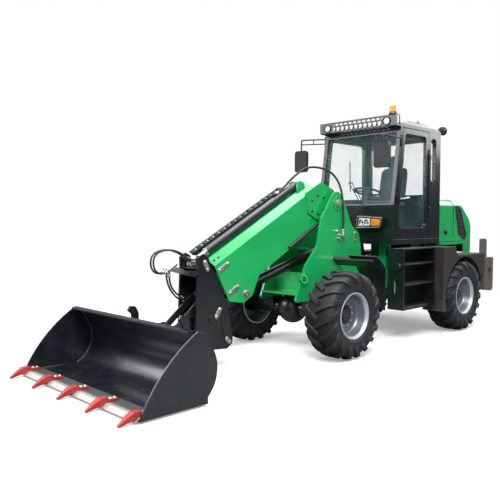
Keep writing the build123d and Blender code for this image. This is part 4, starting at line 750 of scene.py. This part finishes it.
# Lift cylinder's pin: a yellow cap with a hollow in it, inside a bright ring
liftPin = {"place": (1.88, -0.215), "face": 0.2,
           "cap": [(-0.004, 0.001), (-0.004, 0.036), (0.012, 0.036), (0.016, 0.032), (0.016, 0.012), (0.010, 0.008),
                   (0.010, 0.0001)],
           "ring": [(-0.003, 0.038), (0.006, 0.038), (0.008, 0.042), (0.006, 0.049), (-0.003, 0.049)]}
cap, ring = Piece("lift_pin_cap"), Piece("lift_pin_ring")
for side in sides:
    place = onBoom(*liftPin["place"], side * liftPin["face"])
    cap.lathe(liftPin["cap"], place, side * leftward, 32)
    ring.lathe(liftPin["ring"], place, side * leftward, 40, wrap=True)
cap.done("boom", brassSteel, "rod_chrome", 30)
ring.done("boom", zincSteel, "rod_chrome", 30)

# Energy chain: thin side rails that close the tops of the slanted links, and a clip over every third link
chain = {"start": 0.440, "end": 2.140, "top": 0.477, "low": -0.160, "high": -0.070, "pitch": 0.100, "links": 17,
         "rail": 0.005, "clip": 0.030, "clipAt": 0.048}
piece = Piece("chain_rails")
rail = box(chain["start"] + 0.034, chain["end"] - 0.006, chain["top"] - 0.010, chain["top"] + 0.003, 0.003)
for y in (chain["low"], chain["high"]):
    piece.boomPlate(rail, y - chain["rail"], y + chain["rail"])
for link in range(0, chain["links"], 3):
    u = chain["start"] + link * chain["pitch"] + chain["clipAt"]
    clip = box(u, u + chain["clip"], chain["top"] - 0.004, chain["top"] + 0.005, 0.002)
    piece.boomPlate(clip, chain["low"] - 0.007, chain["high"] + 0.007)
piece.done("boom", blackPlastic, "black_plastic", 35)
print("boom plates made")

# Cylinder glands: a turned wiper ring and a ring of screws on the end of each barrel
liftBase, liftEye = at(-0.48, 0.0, 1.25), onBoom(*liftPin["place"], 0.0)
glands = {"lift": ("lift_barrel", liftBase, liftEye - liftBase, 1.310, 0.074, 0.038, 8),
          "extension": ("boom", onBoom(0.0, 0.452, 0.06), boomAlong, 2.080, 0.050, 0.030, 6)}
for name, (body, start, way, reach, radius, bore, count) in glands.items():
    way = unit(way)
    wall = radius - bore
    piece = Piece("gland_" + name)
    piece.lathe([(0.0, bore + 0.004), (0.0, radius * 0.98), (0.006, radius * 0.98), (0.008, radius * 0.94),
                 (0.008, bore + wall * 0.4), (0.016, bore + wall * 0.35), (0.018, bore + wall * 0.2),
                 (0.018, bore + 0.002)], start + way * reach, way, 40, wrap=True)
    rise = unit(np.cross(way, leftward))
    spots = [start + way * (reach + 0.007) + (rise * a + leftward * b) for a, b in ringOf(count, bore + wall * 0.68)]
    piece.bolts(spots, way, 0.0055, 0.006)
    piece.done(body, zincSteel, "rod_chrome", 30)
print("cylinder ends made")

# Bucket: inside weld, rubbed plate edges and the teeth's bolts, all on the shell's own profile
shell = {"back": couplerX + 0.33, "front": couplerX + 1.17, "floor": 0.02, "plate": 0.02, "half": 1.11, "height": 0.665,
         "heel": 0.11, "weld": 0.010, "drop": 0.013, "edgeLow": 0.075, "teeth": 5, "toothInset": 0.065,
         "toothBolts": ((-0.128, 0.0795), (-0.084, 0.0815)),
         "edge": [(-0.0065, -0.004), (0.0065, -0.004), (0.0065, 0.0006), (0.005, 0.0014), (-0.005, 0.0014),
                  (-0.0065, 0.0006)]}


def threePointArc(a, b, c, steps, inset=0.0):
    # the circle through three points, followed from the first to the last past the middle one
    a, b, c = (np.asarray(p, float) for p in (a, b, c))
    m = 2 * np.array([b - a, c - a])
    centre = np.linalg.solve(m, [b @ b - a @ a, c @ c - a @ a])
    angles = np.unwrap([math.atan2(*(p - centre)[::-1]) for p in (a, b, c)])
    turn = np.linspace(angles[0], angles[2], steps)[:, None]
    return centre + (np.linalg.norm(a - centre) - inset) * np.concatenate([np.cos(turn), np.sin(turn)], 1)


def makeBucketTrim():
    x, z, t, front = shell["back"], shell["floor"], shell["plate"], shell["front"]
    top = z + shell["height"]
    back = threePointArc((x + shell["heel"], z + 0.06), (x, z + 0.26), (x + 0.04, z + 0.72 * shell["height"]), 40, t)
    back = back[back[:, 1] > z + t + 0.01]
    inner = np.concatenate([[(front - 0.2, z + t), (front - 0.45, z + t), (back[0, 0] + 0.09, z + t)], back,
                            [(x + 0.146, top - 0.039), (x + 0.2, top - 0.022)]])
    length = np.concatenate([[0], np.cumsum(np.linalg.norm(np.diff(inner, axis=0), axis=1))])
    s = np.linspace(0, length[-1], 420)
    line = np.stack([np.interp(s, length, inner[:, i]) for i in (0, 1)], 1)
    weld = Piece("bucket_welds")
    # the bead swells and narrows along its way, as a run of overlapping drops does
    swell = shell["weld"] * (1 + 0.13 * np.abs(np.sin(s * math.pi / shell["drop"])) + 0.08 * np.sin(s * 31.0))
    for side in sides:
        weld.tube(at(line[:, 0], side * (shell["half"] - t), line[:, 1]), swell, 10, leftward)
    weld.done("bucket", bucketPaint, "black_paint", 60)
    # a thin flat strip lies along the bowed edge of each side plate, where it is rubbed bright
    corner = (x + 0.22, top)
    bow = threePointArc(corner, ((corner[0] + front) / 2 + 0.045, (corner[1] + z) / 2 + 0.055), (front, z), 90)
    bow = bow[bow[:, 1] > shell["edgeLow"]]
    rubbed = Piece("bucket_side_edges")
    for side in sides:
        rubbed.sweep(at(bow[:, 0], side * (shell["half"] - t / 2), bow[:, 1]), shell["edge"], (0.5, 0.0, 1.0))
    rubbed.done("bucket", rubbedPaint, "edge_steel", 40)
    bolts = Piece("tooth_bolts")
    reach = shell["half"] - shell["toothInset"]
    rows = np.arange(shell["teeth"]) * 2 * reach / (shell["teeth"] - 1) - reach
    for dx, boltZ in shell["toothBolts"]:
        bolts.bolts([at(front + dx, y, boltZ) for y in rows], upward, 0.013, 0.011)
    bolts.done("bucket", zincSteel, "rod_chrome", 30)


makeBucketTrim()
print("bucket trim made")

# Tower: pin retainers, pivot caps, hose ends and the tie-down ring
tower = {"face": 0.315, "retainer": ((-0.909, 1.495), (-0.910, 1.395)), "thick": 0.010,
         "pivotFace": 0.339, "pivot": [(0.0, 0.0001), (0.0, 0.046), (0.005, 0.046), (0.007, 0.043), (0.007, 0.014),
                                       (0.012, 0.012), (0.012, 0.0001)],
         "elbows": ((-0.50, 1.525), (-0.545, 1.425)),
         "elbow": [(-0.002, 0.0001), (-0.002, 0.019), (0.014, 0.019), (0.015, 0.013), (0.030, 0.013), (0.031, 0.016),
                   (0.044, 0.016), (0.045, 0.0001)],
         "socketAt": (-0.606, 0.316, 1.465),
         "socket": [(0.0, 0.020), (0.0, 0.030), (0.050, 0.030), (0.052, 0.027), (0.052, 0.0001)],
         "ring": (0.175, 0.955), "ringRadius": 0.045, "ringWire": 0.008}
piece = Piece("tower_fittings")
for side in sides:
    face = tower["face"]
    piece.sidePlate(strip(*tower["retainer"], 0.021), *outward(side, face - sink, face + tower["thick"]))
    spots = [at(x, side * (face + tower["thick"] - sink), z) for x, z in tower["retainer"]]
    piece.bolts(spots, side * leftward, 0.010, 0.009)
    piece.lathe(tower["pivot"], at(boomPivot[0], side * tower["pivotFace"], boomPivot[1]), side * leftward, 40)
    # two hose ends: a nut on the plate, a neck and a short stem
    for x, z in tower["elbows"]:
        piece.lathe(tower["elbow"], at(x, side * face, z), side * leftward, 18)
piece.lathe(tower["socket"], at(*tower["socketAt"]), leftward, 24)
piece.done("front_frame", zincSteel, "rod_chrome", 30)
piece = Piece("tie_down_rings")
for side in sides:
    x, z = tower["ring"]
    pad = box(x - 0.05, x + 0.05, z - 0.035, z + 0.045, 0.015)
    piece.sidePlate(pad, *outward(side, tower["face"] - 0.002, tower["face"] + 0.014))
    wire = ringOf(10, tower["ringWire"]) + (0.0, tower["ringRadius"])
    piece.lathe(wire, at(x, side * (tower["face"] + 0.026), z - 0.02), (0.25, side * 1.0, 0.35), 36, wrap=True)
piece.done("front_frame", greenPaint, "green_paint", 30)
print("tower trim made")

# Fenders: bolts through the sheet where its arm holds it
fender = {"boltTurns": (147, 154), "boltRows": (0.66, 0.78, 0.87), "outside": 0.8148, "lip": 0.8075, "lipTurns": (121, 182),
          "lipWire": 0.011, "edge": 1.002, "taper": 0.150, "taperFrom": -0.61125, "taperLength": 0.22375}
piece = Piece("fender_bolts")
for side in sides:
    for degrees in fender["boltTurns"]:
        turn = math.radians(degrees)
        out = np.array([math.cos(turn), 0.0, math.sin(turn)])
        spots = [at(0.0, side * y, axleHeight) + out * fender["outside"] for y in fender["boltRows"]]
        piece.bolts(spots, out, 0.010, 0.007)
piece.done("front_frame", zincSteel, "rod_chrome", 30)
# the rolled lip follows the sheet's outer edge, which turns in towards its tail
piece = Piece("fender_lips")
turn = np.radians(np.linspace(*fender["lipTurns"], 60))
x, z = fender["lip"] * np.cos(turn), axleHeight + fender["lip"] * np.sin(turn)
edge = fender["edge"] - fender["taper"] * np.clip((fender["taperFrom"] - x) / fender["taperLength"], 0, 1)
for side in sides:
    piece.tube(at(x, side * edge, z), fender["lipWire"], 10, leftward)
piece.done("front_frame", blackPlastic, "black_plastic", 40)
print("fender trim made")

# Steps: pressed buttons on every tread, every second row moved by half a space, and the bright grab sleeve
tread = {"rows": 3, "columns": 14, "rear": -2.085, "length": 0.74, "last": -1.33, "inner": 0.66, "outer": 0.81,
         "radius": 0.011, "rise": 0.005, "levels": (0.46, 0.79, 1.07, 1.28),
         "grab": (-1.23, 0.75, 0.675), "sleeve": [(0.0, 0.0092), (0.0, 0.0115), (0.150, 0.0115), (0.150, 0.0092)]}
piece = Piece("tread_buttons")
level = np.array([(0.0, 1.15), (0.55, 0.95), (0.9, 0.7), (1.0, 0.45)])
turn = np.linspace(0, 2 * math.pi, 10, endpoint=False)
column, row = np.meshgrid(np.linspace(tread["rear"], tread["rear"] + tread["length"], tread["columns"]),
                          np.linspace(tread["inner"], tread["outer"], tread["rows"]))
column = column + np.array([0.0, 0.5, 0.0])[:, None] * tread["length"] / (tread["columns"] - 1)
radius = tread["radius"] * level[:, 1:]
rise = np.broadcast_to(tread["rise"] * level[:, :1] - sink, (len(level), len(turn)))
button = np.stack([radius * np.cos(turn), radius * np.sin(turn), rise], -1)
for side in sides:
    for z in tread["levels"]:
        spots = at(np.minimum(column.ravel(), tread["last"]), side * row.ravel(), z)
        piece.grid(spots[:, None, None] + button[None], wrapColumns=True, caps=True)
piece.done("rear_frame", rubbedPaint, "black_paint", 40)
piece = Piece("grab_sleeve").lathe(tread["sleeve"], at(*tread["grab"]), upward, 20, wrap=True)
piece.done("rear_frame", rodChrome, "rod_chrome", 40)
print("steps dressed")

# Cab front lamps: a dark housing, a clear lens with two reflectors, an amber lens, and the frame round them
headlamp = {"outline": [(0.090, 1.560), (0.490, 1.570), (0.520, 1.700), (0.110, 1.725)],
            "clear": [(0.115, 1.582), (0.312, 1.587), (0.320, 1.692), (0.131, 1.704)],
            "amber": [(0.330, 1.588), (0.472, 1.591), (0.493, 1.681), (0.338, 1.690)],
            "face": -1.270, "corner": 0.02, "lensCorner": 0.016, "trim": 0.0045,
            "reflectors": ((0.170, 1.642), (0.262, 1.642)),
            "reflector": [(0.0, 0.038), (0.004, 0.040), (0.006, 0.038), (0.003, 0.030), (0.0, 0.0001)]}
lampPieces = ("frames", "lenses", "indicators", "reflectors", "trim")
housing, clear, amber, reflectors, trim = (Piece("headlamp_" + name) for name in lampPieces)
face, corner = headlamp["face"], headlamp["lensCorner"]
for side in sides:
    outline, clearLens, amberLens = (np.array(headlamp[k]) * (side, 1) for k in ("outline", "clear", "amber"))
    housing.facePlate(roundCorners(outline, headlamp["corner"]), face - 0.004, face + 0.004)
    ring = roundCorners(outline, headlamp["corner"], 6)
    housing.sweep(at(face, *ring.T), box(-0.012, 0.010, -0.05, 0.020, 0.005), forward, closed=True)
    trim.sweep(at(face + 0.020, *ring.T), ringOf(8, headlamp["trim"]), forward, closed=True)
    clear.facePlate(roundCorners(clearLens, corner), face, face + 0.012, 0.006)
    amber.facePlate(roundCorners(amberLens, corner), face, face + 0.013, 0.006)
    for y, z in headlamp["reflectors"]:
        reflectors.lathe(headlamp["reflector"], at(face + 0.011, side * y, z), forward, 32)
trim.done("rear_frame", zincSteel, "rod_chrome", 40)
housing.done("rear_frame", blackPlastic, "black_plastic", 35)
clear.done("rear_frame", lampClear, "lamp_clear", 35)
amber.done("rear_frame", lampAmber, "beacon_amber", 35)
reflectors.done("rear_frame", rodChrome, "rod_chrome", 35)

# Roof lamps, front and rear: a round rim and a bulging lens
roofLamps = {"front": ((-1.351, 0.515, 3.035), 0.052, 1), "rear": ((-2.705, 0.640, 3.020), 0.055, -1)}
rims, lenses = Piece("roof_lamp_rims"), Piece("roof_lamp_lenses")
for side in sides:
    for (x, y, z), r, way in roofLamps.values():
        place = at(x, side * y, z)
        rims.lathe([(-0.012, r + 0.001), (-0.012, r + 0.009), (0.006, r + 0.009), (0.009, r + 0.005),
                    (0.006, r - 0.004), (-0.004, r - 0.004)], place, way * forward, 40, wrap=True)
        lenses.lathe([(0.0, r - 0.004), (0.004, r * 0.8), (0.006, r * 0.45), (0.007, 0.0001)], place, way * forward, 40)
rims.done("rear_frame", blackPlastic, "black_plastic", 35)
lenses.done("rear_frame", lampClear, "lamp_clear", 35)

# Beacon foot, mirror glass, door handle
cabTrim = {"beacon": (-1.377, 0.600, 3.118),
           "foot": [(0.0, 0.0001), (0.0, 0.060), (0.012, 0.060), (0.018, 0.056), (0.020, 0.052), (0.034, 0.051),
                    (0.034, 0.03)],
           "mirrors": ((-0.940, 0.720, 2.525), (-1.320, -1.000, 2.580)), "mirrorHalf": (0.100, 0.145),
           "handle": [(-1.455, 0.655, 1.962), (-1.460, 0.690, 1.962), (-1.510, 0.700, 1.967), (-1.630, 0.700, 1.979),
                      (-1.680, 0.690, 1.984), (-1.685, 0.655, 1.984)], "handleWire": 0.010, "doorFace": 0.659,
           "rose": [(0.0, 0.0001), (0.0, 0.020), (0.006, 0.020), (0.008, 0.016), (0.008, 0.0001)]}
piece = Piece("beacon_foot").lathe(cabTrim["foot"], at(*cabTrim["beacon"]), upward, 40)
piece.done("rear_frame", blackPlastic, "black_plastic", 35)
mirrorGlass = plainSteel("mirror_glass", (226, 230, 234), (206, 212, 218), 0.03, (1.0, 1.0, 1.0))
piece = Piece("mirror_glass")
wide, tall = cabTrim["mirrorHalf"]
for x, y, z in cabTrim["mirrors"]:
    piece.facePlate(box(y - wide, y + wide, z - tall, z + tall, 0.03), x - 0.0275, x - 0.0235)
piece.done("rear_frame", mirrorGlass, "rod_chrome", 35)
piece = Piece("door_handle")
piece.tube(smoothLine([at(*p) for p in cabTrim["handle"]], 40), cabTrim["handleWire"], 12)
for x, y, z in (cabTrim["handle"][0], cabTrim["handle"][-1]):
    piece.lathe(cabTrim["rose"], at(x, cabTrim["doorFace"], z), leftward, 20)
piece.done("door", zincSteel, "rod_chrome", 35)
print("cab trim made")

# Hood: the panel seam round its section, and a latch on each side
hood = {"seam": -3.07, "half": 0.64, "top": 1.985, "corner": 0.110, "low": 1.40, "shoulder": 1.6,
        "latch": (-2.870, -2.790, 1.455, 1.515, 0.012), "button": (-2.852, -2.808, 1.470, 1.500, 0.008)}
turn = np.linspace(0, math.pi / 2, 10)
bend = np.stack([hood["half"] - hood["corner"] * (1 - np.cos(turn)), hood["top"] - hood["corner"] * (1 - np.sin(turn))], 1)
arch = np.concatenate([[(hood["half"], hood["low"]), (hood["half"], hood["shoulder"])], bend])
arch = np.concatenate([arch, arch[::-1] * (-1, 1)])
piece = Piece("hood_seam")
piece.sweep(at(hood["seam"], *arch.T), box(-0.006, 0.006, -0.004, 0.0025, 0.002), forward)
for side in sides:
    piece.sidePlate(box(*hood["latch"]), *outward(side, 0.639, 0.652))
    piece.sidePlate(box(*hood["button"]), *outward(side, 0.650, 0.660))
piece.done("hood", blackPlastic, "black_plastic", 35)
print("hood trim made")

# Tow pin: a turned pin through the clevis with a ring in its head
towPin = {"place": (-3.88, 0.0, 0.752), "ringAt": (-3.88, 0.0, 0.795), "ringRadius": 0.024, "ringWire": 0.004,
          "profile": [(-0.20, 0.0001), (-0.20, 0.012), (-0.185, 0.018), (0.0, 0.018), (0.0, 0.032), (0.012, 0.032),
                      (0.016, 0.028), (0.016, 0.014), (0.035, 0.014), (0.040, 0.010), (0.040, 0.0001)]}
piece = Piece("tow_pin").lathe(towPin["profile"], at(*towPin["place"]), upward, 28)
wire = ringOf(10, towPin["ringWire"]) + (0.0, towPin["ringRadius"])
piece.lathe(wire, at(*towPin["ringAt"]), leftward, 30, wrap=True)
piece.done("rear_frame", zincSteel, "rod_chrome", 35)

# Seat: crowned cushions; each is a rounded box whose faces swell, with a piped seam round its middle
cushions = {"seat_cushion": ((-2.120, 0.0, 1.905), (0.240, 0.240, 0.055), 0.0),
            "seat_back": ((-2.350, 0.0, 2.220), (0.050, 0.230, 0.260), math.radians(-9.8)),
            "head_rest": ((-2.420, 0.0, 2.575), (0.045, 0.130, 0.095), math.radians(-9.0))}
padding = {"rows": 45, "columns": 112, "channels": (-0.5, 0.5), "channelWidth": 0.035, "piping": 0.006}


def pull(w, power):
    # draws a sine or cosine towards 1 or -1
    return np.sign(w) * np.abs(w) ** power


def makeCushion(name, centre, half, lean):
    # sines and cosines drawn towards 1 give a rounded box; two stitched channels press into its faces
    u = np.linspace(0, 2 * math.pi, padding["columns"], endpoint=False)[None, :]
    v = np.linspace(-math.pi / 2, math.pi / 2, padding["rows"])[:, None]
    p, q = (pull(np.cos(v), 0.42) * pull(way(u), 0.34) for way in (np.cos, np.sin))
    channel = sum(np.exp(-((q - k) / padding["channelWidth"]) ** 2) for k in padding["channels"])
    r = pull(np.sin(v), 0.62) * (0.86 + 0.14 * (1 - p**2) * (1 - q**2) - 0.13 * channel * (1 - p**4))
    flat = half[2] < half[0]
    local = np.stack([p * half[0], q * half[1], r * half[2]] if flat else [r * half[0], q * half[1], p * half[2]], -1)
    turn = np.array([[math.cos(lean), 0, math.sin(lean)], [0, 1, 0], [-math.sin(lean), 0, math.cos(lean)]])
    piece = Piece(name).grid(at(*centre) + local @ turn.T, wrapColumns=True)
    seam = local[padding["rows"] // 2] * 1.004
    piece.sweep(at(*centre) + seam @ turn.T, ringOf(8, padding["piping"]), upward if flat else turn[:, 0], closed=True)
    pad = piece.done("rear_frame", seatFabric, "seat_fabric", 50, ["operator_seat"])


for name, (centre, half, lean) in cushions.items():
    makeCushion(name, centre, half, lean)
print("seat made")

size = {"cad": [list(cadLow), list(cadHigh)], "visual": [list(v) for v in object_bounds()]}
